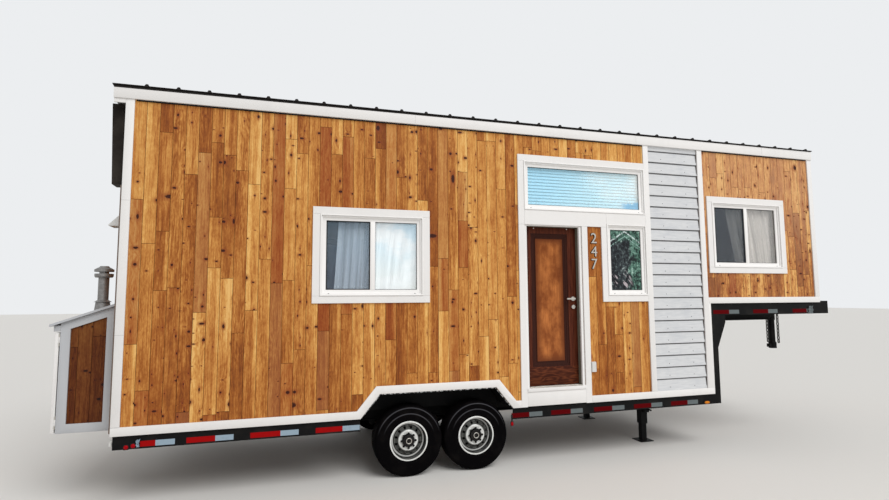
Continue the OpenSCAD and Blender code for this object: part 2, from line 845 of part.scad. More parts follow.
// The low wall under the raised front
module riser_wall() {
    color(framing)
        block([body_l - wall_t, body_l - clad_t], [wall_t, house_w - wall_t], [floor_z, neck_floor_z]);
}

module front_wall() {
    color(framing) cross_wall(house_l - wall_t, neck_top);
}

// Boards over the door side, under the white boards
module near_cladding() {
    top = fascia_z + 8;
    color(cedar) plate_y(0, clad_t) {
        difference() {
            field([0, lap_x0 + trim_w], [under_floor, top]);
            arch_outline(seat, under_floor - 1);
            window_field(side_win_x, side_win_z, side_win_w, side_win_h);
            window_field(transom_x, transom_z, transom_w, transom_h);
            window_field(small_win_x, small_win_z, small_win_w, small_win_h);
            field([door_x0 - jamb_w, door_x1 + jamb_w], [sill_z - 41, door_top + jamb_w]);
        }
        difference() {
            union() {
                field([lap_x1 - trim_w, body_l], [under_floor, top]);
                field([lap_x1 - trim_w, house_l], [neck_floor_z, top]);
            }
            window_field(neck_x, neck_win_z, neck_win_w, neck_win_h);
        }
    }
}

module window_field(x, z, w, h) {
    translate([x, z]) square([w, h]);
}

module back_cladding() {
    top = roof_under(house_w) - 4;
    color(cedar) plate_y(house_w - clad_t, house_w) difference() {
        union() {
            field([0, body_l], [under_floor, top]);
            field([0, house_l], [neck_floor_z, top]);
        }
        arch_outline(seat, under_floor - 1);
        window_field(side_win_x, side_win_z, side_win_w, side_win_h);
        window_field(small_win_x, small_win_z, small_win_w, small_win_h);
        window_field(neck_x, neck_win_z, neck_win_w, neck_win_h);
    }
}

// An end wall's boards between two heights, with the top under the deck
module end_boards(x0, x1, ys, z) {
    prism_x(x0, x1) polygon([
        [ys[0], z], [ys[1], z], [ys[1], wall_top(ys[1])], [ys[0], wall_top(ys[0])]]);
}

// Boards over the rear end, the riser, the front end and the closet's two sides
module end_cladding() {
    ys = [clad_t, house_w - clad_t];
    color(cedar) {
        end_boards(0, clad_t, ys, under_floor);
        prism_x(body_l - clad_t, body_l) field(ys, [under_floor, neck_floor_z - seat]);
        end_boards(house_l - clad_t, house_l, ys, neck_floor_z);
        for (y = [closet_y, closet_y1 - clad_t])
            plate_y(y, y + clad_t) closet_outline();
    }
}

// Overlapping boards, drawn as a sawtooth between a flat foot and a flat top
module lap_siding() {
    butt = 15;
    tip = 3;
    color("#d9dcde") prism_x(lap_x0 + trim_w, lap_x1 - trim_w) {
        field([clad_t - tip, clad_t], [under_floor, fascia_z + 8]);
        field([0, clad_t], [under_floor, lap_z(0)]);
        for (i = [0:laps - 1])
            polygon([[clad_t, lap_z(i)], [clad_t - tip - butt, lap_z(i)],
                [clad_t - tip, lap_z(i + 1)], [clad_t, lap_z(i + 1)]]);
        field([0, clad_t], [lap_z(laps), fascia_z + 8]);
    }
}

// Both boards of a corner; s is 1 where the end face looks back and -1 where it looks forward
module corner_pair(x, s, z0) {
    near_x = s > 0 ? [x - trim_t, x - trim_t + trim_w] : [x + trim_t - trim_w, x + trim_t];
    end_x = s > 0 ? [x - trim_t, x] : [x, x + trim_t];
    block(near_x, [-trim_t, 0], [z0, fascia_z]);
    block(near_x, [house_w, house_w + trim_t], [z0, roof_top(house_w) - fascia_h]);
    for (y = [0, house_w - trim_w])
        prism_x(end_x[0], end_x[1]) polygon([[y, z0], [y + trim_w, z0],
            [y + trim_w, roof_top(y + trim_w) - fascia_h], [y, roof_top(y) - fascia_h]]);
}

module corner_boards() {
    color(white) {
        corner_pair(0, 1, skirt_top);
        corner_pair(house_l, -1, neck_z + trim_w);
        both_sides() {
            block([lap_x1, body_l + trim_t], [-trim_t, 0], [skirt_top, neck_z]);
            block([body_l, body_l + trim_t], [0, trim_w], [under_floor + seat, neck_z]);
        }
        for (x = [lap_x0, lap_x1 - trim_w])
            block([x, x + trim_w], [-trim_t, 0], [skirt_top, fascia_z]);
        block([lap_x1 - trim_w, lap_x1], [house_w, house_w + trim_t],
            [skirt_top, roof_top(house_w) - fascia_h]);
    }
}

// The skirt along one side from the rear corner, with the raised boards round the arch
module skirt_outline(x1) {
    difference() {
        union() {
            field([-trim_t, x1], [skirt_z, skirt_top]);
            intersection() {
                arch_outline(trim_w + 4, skirt_z);
                field([-trim_t, x1], [skirt_z, arch_top + 2 * trim_w]);
            }
        }
        arch_outline(0, skirt_z - 1);
    }
}

module skirt_boards() {
    neck_skirt_z = [neck_z, neck_z + trim_w];
    color(white) {
        plate_y(-trim_t, 0) {
            skirt_outline(entry_x0);
            field([entry_x1, body_l + trim_t], [skirt_z, skirt_top]);
            field([entry_x0 + trim_w, entry_x1 - trim_w], [skirt_z + 7, sill_z - 41]);
        }
        plate_y(house_w, house_w + trim_t) skirt_outline(body_l + trim_t);
        both_sides() block([lap_x1, house_l + trim_t], [-trim_t, 0], neck_skirt_z);
        block([house_l, house_l + trim_t], [0, house_w], [neck_floor_z + seat, neck_z + trim_w]);
        for (ys = [[0, closet_y - trim_t], [closet_y1 + trim_t, house_w]])
            block([-trim_t, 0], ys, [skirt_z, skirt_top]);
    }
}

// Four boards round a window
module window_casing(x, z, w, h) {
    plate_y(-trim_t, 0) ring(x - trim_w, z - trim_w, w + 2 * trim_w, h + 2 * trim_w, trim_w);
}

module casings() {
    color(white) {
        both_sides() {
            window_casing(side_win_x, side_win_z, side_win_w, side_win_h);
            window_casing(neck_x, neck_win_z, neck_win_w, neck_win_h);
        }
        back_side() window_casing(small_win_x, small_win_z, small_win_w, small_win_h);
        plate_y(-trim_t, 0) {
            field([entry_x0, entry_x0 + trim_w], [skirt_z, transom_z + transom_h + trim_w]);
            field([entry_x0 + trim_w, lap_x0],
                [transom_z + transom_h, transom_z + transom_h + trim_w]);
            difference() {
                field([entry_x0 + trim_w, lap_x0], [header_z, transom_z]);
                window_field(small_win_x, small_win_z, small_win_w, small_win_h);
            }
            field([entry_x1 - trim_w, entry_x1], [skirt_z, header_z]);
            field([small_win_x - trim_w, small_win_x], [small_win_z - trim_w, header_z]);
            field([small_win_x, lap_x0], [small_win_z - trim_w, small_win_z]);
        }
    }
}

// A sloped board at a roof end, let into the two long boards
module rake(x0, x1) {
    y0 = -let_in;
    y1 = house_w + let_in;
    prism_x(x0, x1) polygon([
        [y0, roof_top(0) - fascia_h], [0, roof_top(0) - fascia_h],
        [house_w, roof_top(house_w) - fascia_h], [y1, roof_top(house_w) - fascia_h],
        [y1, roof_top(house_w)], [house_w, roof_top(house_w)], [0, roof_top(0)], [y0, roof_top(0)]]);
}

module fascia_boards() {
    xs = [-rake_over, house_l + trim_t];
    y1 = house_w + fascia_t;
    soffit_t = 12;
    color(white) {
        block(xs, [-fascia_t, 0], [fascia_z, eave_z]);
        prism_x(xs[0], xs[1]) polygon([
            [house_w, roof_top(house_w) - fascia_h], [y1, roof_top(house_w) - fascia_h],
            [y1, roof_top(y1)], [house_w, roof_top(house_w)]]);
        rake(-rake_over, fascia_t - rake_over);
        rake(house_l, house_l + trim_t);
        prism_x(fascia_t - rake_over, 0) polygon([
            [0, roof_under(0) - soffit_t], [house_w, roof_under(house_w) - soffit_t],
            [house_w, roof_under(house_w)], [0, roof_under(0)]]);
    }
}

module roof_deck() {
    color(framing) prism_x(fascia_t - rake_over, house_l) polygon([
        [0, roof_under(0)], [house_w, roof_under(house_w)], [house_w, roof_top(house_w)],
        [0, roof_top(0)]]);
}

// The roofing's section along the house: a flat sheet with a rib at each spacing
module ribbed_sheet(x0, x1, first, pitch, t, h, w) {
    top_share = 0.45;
    field([x0, x1], [0, t]);
    for (x = [first : pitch : x1 - w])
        polygon([[x - w / 2, t - let_in], [x + w / 2, t - let_in],
            [x + w * top_share / 2, t + h], [x - w * top_share / 2, t + h]]);
}

module metal_roof() {
    drip = 12;
    y0 = -fascia_t - drip;
    run = (house_w - 2 * y0) / cos(roof_angle);
    color(dark_metal) translate([0, y0, roof_top(y0) + seat]) rotate([-roof_angle, 0, 0])
        plate_y(0, run) ribbed_sheet(-rake_over - drip, house_l + trim_t + drip, rib_x, rib_pitch,
            sheet_t, rib_h, rib_w);
}

// A window's frame in the wall and its sashes; split leaves a mullion in the middle
module window_frame(x, z, w, h, split) {
    plate_y(-win_proud, win_depth - win_proud) ring(x, z, w, h, win_frame);
    plate_y(sash_in, sash_in + sash_t)
        ring(x + win_frame, z + win_frame, w - 2 * win_frame, h - 2 * win_frame,
            win_face - win_frame);
    if (split)
        block([x + (w - mullion_w) / 2, x + (w + mullion_w) / 2],
            [sash_in - 4, sash_in + sash_t], [z + win_face, z + h - win_face]);
}

module window_frames() {
    color(white) {
        both_sides() {
            window_frame(side_win_x, side_win_z, side_win_w, side_win_h, true);
            window_frame(neck_x, neck_win_z, neck_win_w, neck_win_h, true);
            window_frame(small_win_x, small_win_z, small_win_w, small_win_h, false);
        }
        window_frame(transom_x, transom_z, transom_w, transom_h, false);
    }
}

// Glass seated in a window's sashes
module pane(x, z, w, h, split) {
    glass_y = sash_in + (sash_t - glass_t) / 2;
    plate_y(glass_y, glass_y + glass_t) difference() {
        window_field(x + win_face, z + win_face, w - 2 * win_face, h - 2 * win_face);
        if (split) window_field(x + (w - mullion_w) / 2, z, mullion_w, h);
    }
}

module window_glass() {
    color([0.55, 0.7, 0.8, 0.5]) {
        both_sides() {
            pane(side_win_x, side_win_z, side_win_w, side_win_h, true);
            pane(neck_x, neck_win_z, neck_win_w, neck_win_h, true);
            pane(small_win_x, small_win_z, small_win_w, small_win_h, false);
        }
        pane(transom_x, transom_z, transom_w, transom_h, false);
    }
}

// The door frame with its rabbet for the leaf, and the sill
module door_frame() {
    frame_top = door_top + jamb_w;
    nose = 10;
    xs = [door_x0 - jamb_w, door_x1 + jamb_w];
    color(white) difference() {
        union() {
            block([xs[0], door_x0], [0, wall_t], [sill_z, frame_top]);
            block([door_x1, xs[1]], [0, wall_t], [sill_z, frame_top]);
            block(xs, [0, wall_t], [door_top, frame_top]);
            block(xs, [-trim_t - nose, wall_t], [floor_z, sill_z]);
            block(xs, [-trim_t - nose, clad_t], [sill_z - 41, floor_z]);
        }
        block([door_x0 - door_rabbet, door_x1 + door_rabbet], [leaf_recess, wall_t + 1],
            [sill_z, door_top + door_rabbet]);
    }
}

// The leaf with its recessed panel behind a stepped moulding on both faces
module front_door() {
    x0 = door_x0 - door_rabbet + leaf_gap;
    x1 = door_x1 + door_rabbet - leaf_gap;
    z0 = sill_z + leaf_gap;
    z1 = door_top + door_rabbet - leaf_gap;
    y0 = leaf_recess + seat;
    y1 = y0 + leaf_t;
    mould = [[x0 + hinge_stile, x1 - lever_stile], [z0 + bottom_rail, z1 - top_rail]];
    steps = [[0, 6], [mould_w / 2, 11], [mould_w, 5]];
    color("#3d211b") difference() {
        block([x0, x1], [y0, y1], [z0, z1]);
        for (s = steps) door_panel_cut(mould, s[0], s[1], y0, y1);
    }
    color("#3d211b") for (z = door_hinge_zs) moving_hinge([hinge_x, hinge_y, z])
        translate([-2, -knuckle_d / 2 - 2]) square([44, 4]);
}

// The half of a hinge that turns: a bored knuckle and its strap, drawn from the pin
module moving_hinge(pin) {
    translate(pin - [0, 0, hinge_h / 4]) linear_extrude(hinge_h / 2) difference() {
        union() {
            circle(d = knuckle_d);
            children();
        }
        circle(d = pin_d + 2 * spindle_gap);
    }
}

// The half of a hinge that stands: the pin, two knuckles and their plates
module fixed_hinge(pin) {
    translate(pin - [0, 0, hinge_h / 2]) {
        cylinder(d = pin_d, h = hinge_h);
        for (z = [0, hinge_h * 3 / 4 + seat]) translate([0, 0, z])
            linear_extrude(hinge_h / 4 - seat) {
                circle(d = knuckle_d);
                children();
            }
    }
}

module hinges() {
    plate_t = 4;
    color("#b9b6b0") {
        for (z = door_hinge_zs) fixed_hinge([hinge_x, hinge_y, z])
            translate([door_x0 - jamb_w + 3 - hinge_x, wall_t - hinge_y])
                square([hinge_x - door_x0 + jamb_w - 3, plate_t]);
        for (z = closet_hinge_zs) fixed_hinge([closet_pin_x, closet_pin_y, z])
            translate([-closet_d - plate_t + 1 - closet_pin_x, 0]) square([plate_t - 1, 44]);
    }
}

// One step of the moulding, sunk from both faces
module door_panel_cut(field_box, inset, depth, y0, y1) {
    xs = [field_box[0][0] + inset, field_box[0][1] - inset];
    zs = [field_box[1][0] + inset, field_box[1][1] - inset];
    block(xs, [y0 - 1, y0 + depth], zs);
    block(xs, [y1 - depth, y1 + 1], zs);
}

module door_handle() {
    y0 = leaf_recess + seat;
    x = door_x1 - 58;
    color("#c9c4bb") for (s = [-1, 1]) {
        face = s < 0 ? y0 : y0 + leaf_t;
        translate([x, face, sill_z + lever_z]) rotate([s < 0 ? 90 : -90, 0, 0]) {
            cylinder(d = 54, h = 10);
            cylinder(d = 20, h = 48);
        }
        translate([x - 105, min(face + s * 38, face + s * 54), sill_z + lever_z - 9])
            cube([115, 16, 18]);
        translate([x, face, sill_z + lever_z - 100]) rotate([s < 0 ? 90 : -90, 0, 0])
            cylinder(d = 50, h = 16);
    }
}

// The closet's side: level below, rising to the house above
module closet_outline() {
    polygon([[-closet_d, skirt_z], [-seat, skirt_z], [-seat, closet_top(0)],
        [-closet_d, closet_top(-closet_d)]]);
}

module closet_box() {
    ys = [closet_y + clad_t, closet_y1 - clad_t];
    inner = [ys[0] + closet_t, ys[1] - closet_t];
    bottom = skirt_z + 50;
    color(framing) difference() {
        plate_y(ys[0], ys[1]) closet_outline();
        block([closet_t - closet_d, 1], inner, [bottom, closet_top(0) + 1]);
        block([-closet_d - 1, closet_t - closet_d + 1], inner, [bottom, closet_door_z1 - 30]);
    }
}

module closet_trim() {
    w = trim_w + 6;
    ys = [closet_y - trim_t, closet_y1 + trim_t];
    x0 = closet_over / 3 - closet_d - closet_over;
    color(white) {
        for (y = [ys[0], closet_y1])
            plate_y(y, y + trim_t) difference() {
                closet_outline();
                polygon([[w - closet_d, skirt_z + w], [-2 * w, skirt_z + w],
                    [-2 * w, closet_top(-2 * w) - w], [w - closet_d, closet_top(w - closet_d) - w]]);
            }
        block([x0, -closet_d - seat], ys, [closet_door_z1 + 12, closet_top(x0)]);
    }
}

module closet_roof() {
    x0 = -closet_d - closet_over;
    lip = closet_roof_t / cos(closet_slant);
    base = seat / cos(closet_slant);
    color(dark_metal) plate_y(closet_y - trim_t - 35, closet_y1 + trim_t + 35) polygon([
        [x0, closet_top(x0) + base], [-seat, closet_top(-seat) + base],
        [-seat, closet_top(-seat) + lip], [x0, closet_top(x0) + lip]]);
}

module closet_door() {
    x1 = closet_door_x;
    color(white) union() {
        block([x1 - closet_door_t, x1], [closet_pin_y + knuckle_d / 2 + 2, closet_y1 + trim_t],
            [closet_door_z0, closet_door_z1]);
        for (z = closet_hinge_zs) moving_hinge([closet_pin_x, closet_pin_y, z])
            translate([x1 - closet_pin_x, -2]) square([4, 40]);
    }
}

// The flue: flashing, storm collar, pipe and a two-ring cap
module vent_pipe() {
    base_z = closet_top(vent_x) + closet_roof_t / cos(closet_slant);
    top_z = base_z + vent_h;
    color("#a9abae") translate([vent_x, vent_y, 0]) union() {
        difference() {
            translate([0, 0, base_z - 30]) cylinder(d1 = vent_d + 55, d2 = vent_d + 30, h = 110);
            translate([-vent_x, 0, 0]) rotate([90, 0, 0]) linear_extrude(vent_cut, center = true)
                polygon([[-vent_cut, base_z - vent_cut / 2], [0, base_z - vent_cut / 2],
                    [0, closet_roof_z(0)], [-vent_cut, closet_roof_z(-vent_cut)]]);
        }
        translate([0, 0, base_z + 70]) cylinder(d = vent_d, h = top_z - base_z - 180);
        translate([0, 0, base_z + 78]) cylinder(d1 = vent_d + 66, d2 = vent_d, h = 22);
        translate([0, 0, top_z - 118]) cylinder(d1 = vent_d + 56, d2 = vent_d + 74, h = 14);
        translate([0, 0, top_z - 105]) cylinder(d = vent_d + 74, h = 26);
        translate([0, 0, top_z - 80]) cylinder(d = vent_d - 10, h = 50);
        translate([0, 0, top_z - 58]) cylinder(d = vent_d + 80, h = 24);
        translate([0, 0, top_z - 35]) cylinder(d1 = vent_d + 80, d2 = vent_d + 16, h = 20);
        translate([0, 0, top_z - 16]) cylinder(d1 = vent_d + 6, d2 = vent_d - 20, h = 16);
    }
}

// The dark metal box high on the rear end, under the overhang, a little shallower at its foot
module service_box() {
    ys = [trim_w + 3, trim_w + 3 + box_w];
    top = roof_top(ys[1]) - fascia_h - seat;
    color(dark_metal) plate_y(ys[0], ys[1]) polygon([
        [-seat, top - box_h], [26 - box_out, top - box_h], [-box_out, top], [-seat, top]]);
}

// The vent hood on the rear end and the outlet box beside the door
module wall_fittings() {
    lip = 10;
    hood_t = 3;
    z0 = sill_z + outlet_z;
    x0 = entry_x1 + 4;
    color("#d2d3d1") {
        difference() {
            plate_y(hood_y, hood_y + hood_w) polygon([
                [-seat, hood_z], [-hood_out, hood_z - hood_h],
                [-hood_out, hood_z - hood_h - lip], [-seat, hood_z - hood_h - lip]]);
            plate_y(hood_y + hood_t, hood_y + hood_w - hood_t) polygon([
                [-seat - hood_t, hood_z - 2 * hood_t], [hood_t - hood_out, hood_z - hood_h - hood_t],
                [hood_t - hood_out, hood_z - hood_h - lip - 1],
                [-seat - hood_t, hood_z - hood_h - lip - 1]]);
        }
        difference() {
            block([x0, x0 + outlet_w], [-outlet_t, -seat], [z0, z0 + outlet_h]);
            block([x0 - 1, x0 + outlet_w + 1], [-outlet_t - 1, 4 - outlet_t],
                [z0 + outlet_h - 14, z0 + outlet_h + 1]);
        }
    }
}

translate(-middle) side_rails();
translate(-middle) main_beams();
translate(-middle) cross_members();
translate(-middle) gooseneck_frame();
translate(-middle) neck_beams();
translate(-middle) hitch_coupler();
translate(-middle) axles();
translate(-middle) springs();
translate(-middle) on_axle(0, false) color("#1a1a1b") tyre_solid();  // tyre_near_rear
translate(-middle) on_axle(1, false) color("#1a1a1b") tyre_solid();  // tyre_near_front
translate(-middle) on_axle(0, true) color("#1a1a1b") tyre_solid();  // tyre_back_rear
translate(-middle) on_axle(1, true) color("#1a1a1b") tyre_solid();  // tyre_back_front
translate(-middle) on_axle(0, false) color("#b9bcc0") rim_solid();  // rim_near_rear
translate(-middle) on_axle(1, false) color("#b9bcc0") rim_solid();  // rim_near_front
translate(-middle) on_axle(0, true) color("#b9bcc0") rim_solid();  // rim_back_rear
translate(-middle) on_axle(1, true) color("#b9bcc0") rim_solid();  // rim_back_front
translate(-middle) wheel_wells();
translate(-middle) landing_legs();
translate(-middle) floor();
translate(-middle) near_wall_rear();
translate(-middle) near_wall_over_door();
translate(-middle) near_wall_front();
translate(-middle) near_wall_gooseneck();
translate(-middle) back_wall();
translate(-middle) rear_wall();
translate(-middle) riser_wall();
translate(-middle) front_wall();
translate(-middle) near_cladding();
translate(-middle) back_cladding();
translate(-middle) end_cladding();
translate(-middle) lap_siding();
translate(-middle) corner_boards();
translate(-middle) skirt_boards();
translate(-middle) casings();
translate(-middle) fascia_boards();
translate(-middle) roof_deck();
translate(-middle) metal_roof();
translate(-middle) window_frames();
translate(-middle) window_glass();
translate(-middle) door_frame();
translate(-middle) front_door();
translate(-middle) door_handle();
translate(-middle) hinges();
translate(-middle) closet_box();
translate(-middle) closet_trim();
translate(-middle) closet_roof();
translate(-middle) closet_door();
translate(-middle) vent_pipe();
translate(-middle) service_box();
translate(-middle) wall_fittings();
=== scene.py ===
import bisect
import json
import math
import random

import bmesh
import bpy
from mathutils import Matrix, Vector

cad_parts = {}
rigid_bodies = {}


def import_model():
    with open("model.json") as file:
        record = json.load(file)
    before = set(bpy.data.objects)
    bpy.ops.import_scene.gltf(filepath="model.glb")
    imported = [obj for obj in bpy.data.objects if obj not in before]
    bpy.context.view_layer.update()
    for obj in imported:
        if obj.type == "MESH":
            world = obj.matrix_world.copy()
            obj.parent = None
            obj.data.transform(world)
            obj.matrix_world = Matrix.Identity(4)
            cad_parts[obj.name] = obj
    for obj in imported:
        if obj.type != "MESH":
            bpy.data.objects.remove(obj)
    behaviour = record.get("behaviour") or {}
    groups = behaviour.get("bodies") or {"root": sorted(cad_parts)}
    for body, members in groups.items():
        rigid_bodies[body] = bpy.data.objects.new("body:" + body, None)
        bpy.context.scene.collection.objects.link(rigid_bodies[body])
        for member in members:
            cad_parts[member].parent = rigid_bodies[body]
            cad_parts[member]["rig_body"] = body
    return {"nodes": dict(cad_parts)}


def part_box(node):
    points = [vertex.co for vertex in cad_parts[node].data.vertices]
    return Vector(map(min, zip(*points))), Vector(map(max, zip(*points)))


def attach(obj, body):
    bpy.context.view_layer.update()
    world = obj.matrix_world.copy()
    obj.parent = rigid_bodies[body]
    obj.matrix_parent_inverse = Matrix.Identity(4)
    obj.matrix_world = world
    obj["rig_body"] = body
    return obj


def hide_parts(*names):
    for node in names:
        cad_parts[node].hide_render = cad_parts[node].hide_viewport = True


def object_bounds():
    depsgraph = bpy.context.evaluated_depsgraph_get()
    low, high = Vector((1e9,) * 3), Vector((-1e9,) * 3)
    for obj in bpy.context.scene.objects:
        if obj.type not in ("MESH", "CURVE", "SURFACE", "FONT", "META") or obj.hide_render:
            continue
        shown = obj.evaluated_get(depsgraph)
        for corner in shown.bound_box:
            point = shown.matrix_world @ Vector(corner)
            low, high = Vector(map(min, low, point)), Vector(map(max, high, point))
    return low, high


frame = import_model()
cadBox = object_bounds()
nodes = frame["nodes"]
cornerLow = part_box("near_cladding")[0]
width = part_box("back_cladding")[1].y - cornerLow.y


def at(x, y, z):
    # a point by its distance from the rear end, from the door side and from the ground
    return Vector((cornerLow.x + x, cornerLow.y + y, z))


# The camera stands where the photograph's camera stood
view = {"place": (1.5317, -5.801, 1.961), "yaw": 16.77, "pitch": 5.15, "roll": -0.35, "lens": 21.406}


def addCamera():
    yaw, pitch, roll = (math.radians(view[k]) for k in ("yaw", "pitch", "roll"))
    ahead = Vector((math.sin(yaw) * math.cos(pitch), math.cos(yaw) * math.cos(pitch), math.sin(pitch)))
    level = Vector((math.cos(yaw), -math.sin(yaw), 0))
    up = level.cross(ahead)
    side = level * math.cos(roll) + up * math.sin(roll)
    top = up * math.cos(roll) - level * math.sin(roll)
    bpy.ops.object.camera_add()
    camera = bpy.context.object
    camera.matrix_world = Matrix((side, top, -ahead)).transposed().to_4x4()
    camera.location = at(*view["place"])
    camera.data.lens = view["lens"]
    camera.data.sensor_width = 36
    camera.data.clip_end = 200
    bpy.context.scene.camera = camera


addCamera()

# Main places of the house, in the same distances as at()
house = {
    "length": 8.92, "body": 6.975, "low": 0.695, "neckLow": 1.882, "top": 3.96, "backTop": 3.662,
    "lap": (6.092, 6.883), "wall": 0.015, "roofTop": 4.0757, "deck": 0.11, "fall": 0.3,
}
arch = {"middle": 3.215, "half": 0.6775, "run": 0.208, "top": 0.927, "low": 0.676}
closet = {"depth": 0.564, "near": 0.3, "back": 1.3, "top": 1.732, "rise": 0.356, "low": 0.676}
windows = {
    "side": {"x": 1.882, "z": 1.986, "w": 1.140, "h": 0.885, "split": True},
    "neck": {"x": 7.089, "z": 2.350, "w": 1.193, "h": 0.892, "split": True},
    "small": {"x": 5.426, "z": 1.976, "w": 0.587, "h": 0.903, "split": False},
    "transom": {"x": 4.287, "z": 3.021, "w": 1.726, "h": 0.603, "split": False},
}
doorway = (4.287, 5.067, 0.849, 2.860)
wheelNames = ("near_rear", "near_front", "back_rear", "back_front")


def windowHole(name):
    w = windows[name]
    return (w["x"], w["x"] + w["w"], w["z"], w["z"] + w["h"])


# Shader sums


def paint(red, green, blue):
    # a screen colour as the shader wants it
    shares = [v / 255 for v in (red, green, blue)]
    return tuple(v / 12.92 if v <= 0.04045 else ((v + 0.055) / 1.055) ** 2.4 for v in shares) + (1.0,)


def lit(value):
    # three numbers are a screen colour, and anything else stays as it is
    return paint(*value) if isinstance(value, tuple) and len(value) == 3 else value


def dim(colour, share):
    return tuple(v * share for v in colour)


class Wire:
    # a shader socket that takes part in sums
    def __init__(self, shade, socket):
        self.shade = shade
        self.socket = socket

    def calc(self, operation, *others):
        return self.shade.math(operation, self, *others)

    def __add__(self, other):
        return self.calc("ADD", other)

    __radd__ = __add__

    def __sub__(self, other):
        return self.calc("SUBTRACT", other)

    def __rsub__(self, other):
        return self.shade.math("SUBTRACT", other, self)

    def __mul__(self, other):
        return self.calc("MULTIPLY", other)

    __rmul__ = __mul__

    def __truediv__(self, other):
        return self.calc("DIVIDE", other)

    def __lt__(self, other):
        return self.calc("LESS_THAN", other)

    def __pow__(self, other):
        return self.calc("POWER", other)

    def __abs__(self):
        return self.calc("ABSOLUTE")

    def __neg__(self):
        return self.calc("MULTIPLY", -1.0)


class Shade:
    def __init__(self, name, owner=None):
        self.material = owner or bpy.data.materials.new(name)
        self.material.use_nodes = True
        self.tree = self.material.node_tree
        self.tree.nodes.clear()
        self.maps = {}

    def node(self, kind, settings=None, values=None, out=0):
        made = self.tree.nodes.new(kind)
        for key, value in (settings or {}).items():
            if key == "stops":
                steps = made.color_ramp.elements
                while len(steps) < len(value):
                    steps.new(0.5)
                for step, (place, tone) in zip(steps, value):
                    step.position = place
                    step.color = lit(tone)
            else:
                setattr(made, key, value)
        pairs = values.items() if isinstance(values, dict) else enumerate(values or [])
        for key, value in pairs:
            if isinstance(value, Wire):
                self.tree.links.new(value.socket, made.inputs[key])
            elif value is not None:
                made.inputs[key].default_value = lit(value)
        return Wire(self, made.outputs[out])

    def math(self, operation, *values):
        return self.node("ShaderNodeMath", {"operation": operation}, list(values))

    def blend(self, share, low, high):
        return self.node("ShaderNodeMix", {"data_type": "RGBA"}, {0: share, 6: low, 7: high}, out=2)

    def smooth(self, value, low, high):
        # 0 below low, 1 above high, and soft between
        return self.node("ShaderNodeMapRange", {"interpolation_type": "SMOOTHSTEP"},
                         [value, low, high, 0.0, 1.0])

    def fall(self, value, low, high):
        return 1 - self.smooth(value, low, high)

    def ramp(self, value, stops):
        return self.node("ShaderNodeValToRGB", {"stops": stops}, [value])

    def vector(self, x=0.0, y=0.0, z=0.0):
        return self.node("ShaderNodeCombineXYZ", None, [x, y, z])

    def parts(self, vector):
        split = self.node("ShaderNodeSeparateXYZ", None, [vector])
        outs = split.socket.node.outputs
        return [Wire(self, outs[i]) for i in range(3)]

    def wave(self, value):
        return self.math("SINE", value) * 0.5 + 0.5

    def grid(self, first, second, times):
        return self.math("SINE", first * times) * self.math("SINE", second * times)

    def map(self, kind, settings=None, out=0):
        # the three parts of a map, whose nodes are made once
        key = str((kind, settings))
        if key not in self.maps:
            self.maps[key] = self.parts(self.node(kind, settings, out=out))
        return self.maps[key]

    def place(self):
        # the object's own x, y and z
        return self.map("ShaderNodeTexCoord", out=3)

    def stretch(self, scale):
        # the place times one scale, or times one for each axis
        scales = scale if isinstance(scale, tuple) else (scale,) * 3
        return self.vector(*(way * times for way, times in zip(self.place(), scales)))

    def speck(self, scale, detail=2.0, rough=0.5):
        return self.noise(self.stretch(scale), detail, rough)

    def grainMap(self):
        return self.map("ShaderNodeUVMap", {"uv_map": "grain"})

    def attribute(self, name):
        return self.node("ShaderNodeAttribute", {"attribute_name": name}, out=2)

    def noise(self, vector, detail=2.0, rough=0.5, dimensions="3D"):
        return self.node("ShaderNodeTexNoise", {"noise_dimensions": dimensions},
                         {"Vector": vector, "Scale": 1.0, "Detail": detail, "Roughness": rough})

    def fleck(self, across, along, detail=1.0, rough=0.5):
        # flat noise on the map that follows a board's grain or a cloth's folds
        u, v, _ = self.grainMap()
        return self.noise(self.vector(u * across, v * along), detail, rough, "2D")

    def surface(self, colour, rough=0.5, bump=None, depth=0.001, **constants):
        values = {"Base Color": colour, "Roughness": rough}
        for key, value in constants.items():
            values[key[0].upper() + key[1:].replace("_", " ")] = value
        if bump is not None:
            values["Normal"] = self.node("ShaderNodeBump", None,
                                         {"Height": bump, "Distance": depth, "Strength": 0.6})
        return self.finish(self.node("ShaderNodeBsdfPrincipled", None, values))

    def finish(self, last, kind="ShaderNodeOutputMaterial"):
        self.tree.links.new(last.socket, self.tree.nodes.new(kind).inputs[0])
        return self.material


cedar = {
    "dark": (116, 60, 22), "brown": (152, 88, 34), "honey": (187, 125, 60), "light": (210, 154, 82),
    "pale": (228, 182, 110), "red": (132, 50, 20), "rose": (140, 84, 54), "faded": (204, 158, 120),
    "knot": (56, 20, 10), "ring": (132, 62, 28), "seam": (62, 30, 13),
}
knots = {    # the many small ones, and the few large ones that show on any board
    "small": {"cell": 0.090, "stretch": 1.7, "size": 0.0100},
    "large": {"cell": 0.50, "stretch": 1.9, "size": 0.021},
}
boardFields = ("boardTone", "boardWarm", "boardKnots", "boardFlame", "boardSap", "boardSeam")


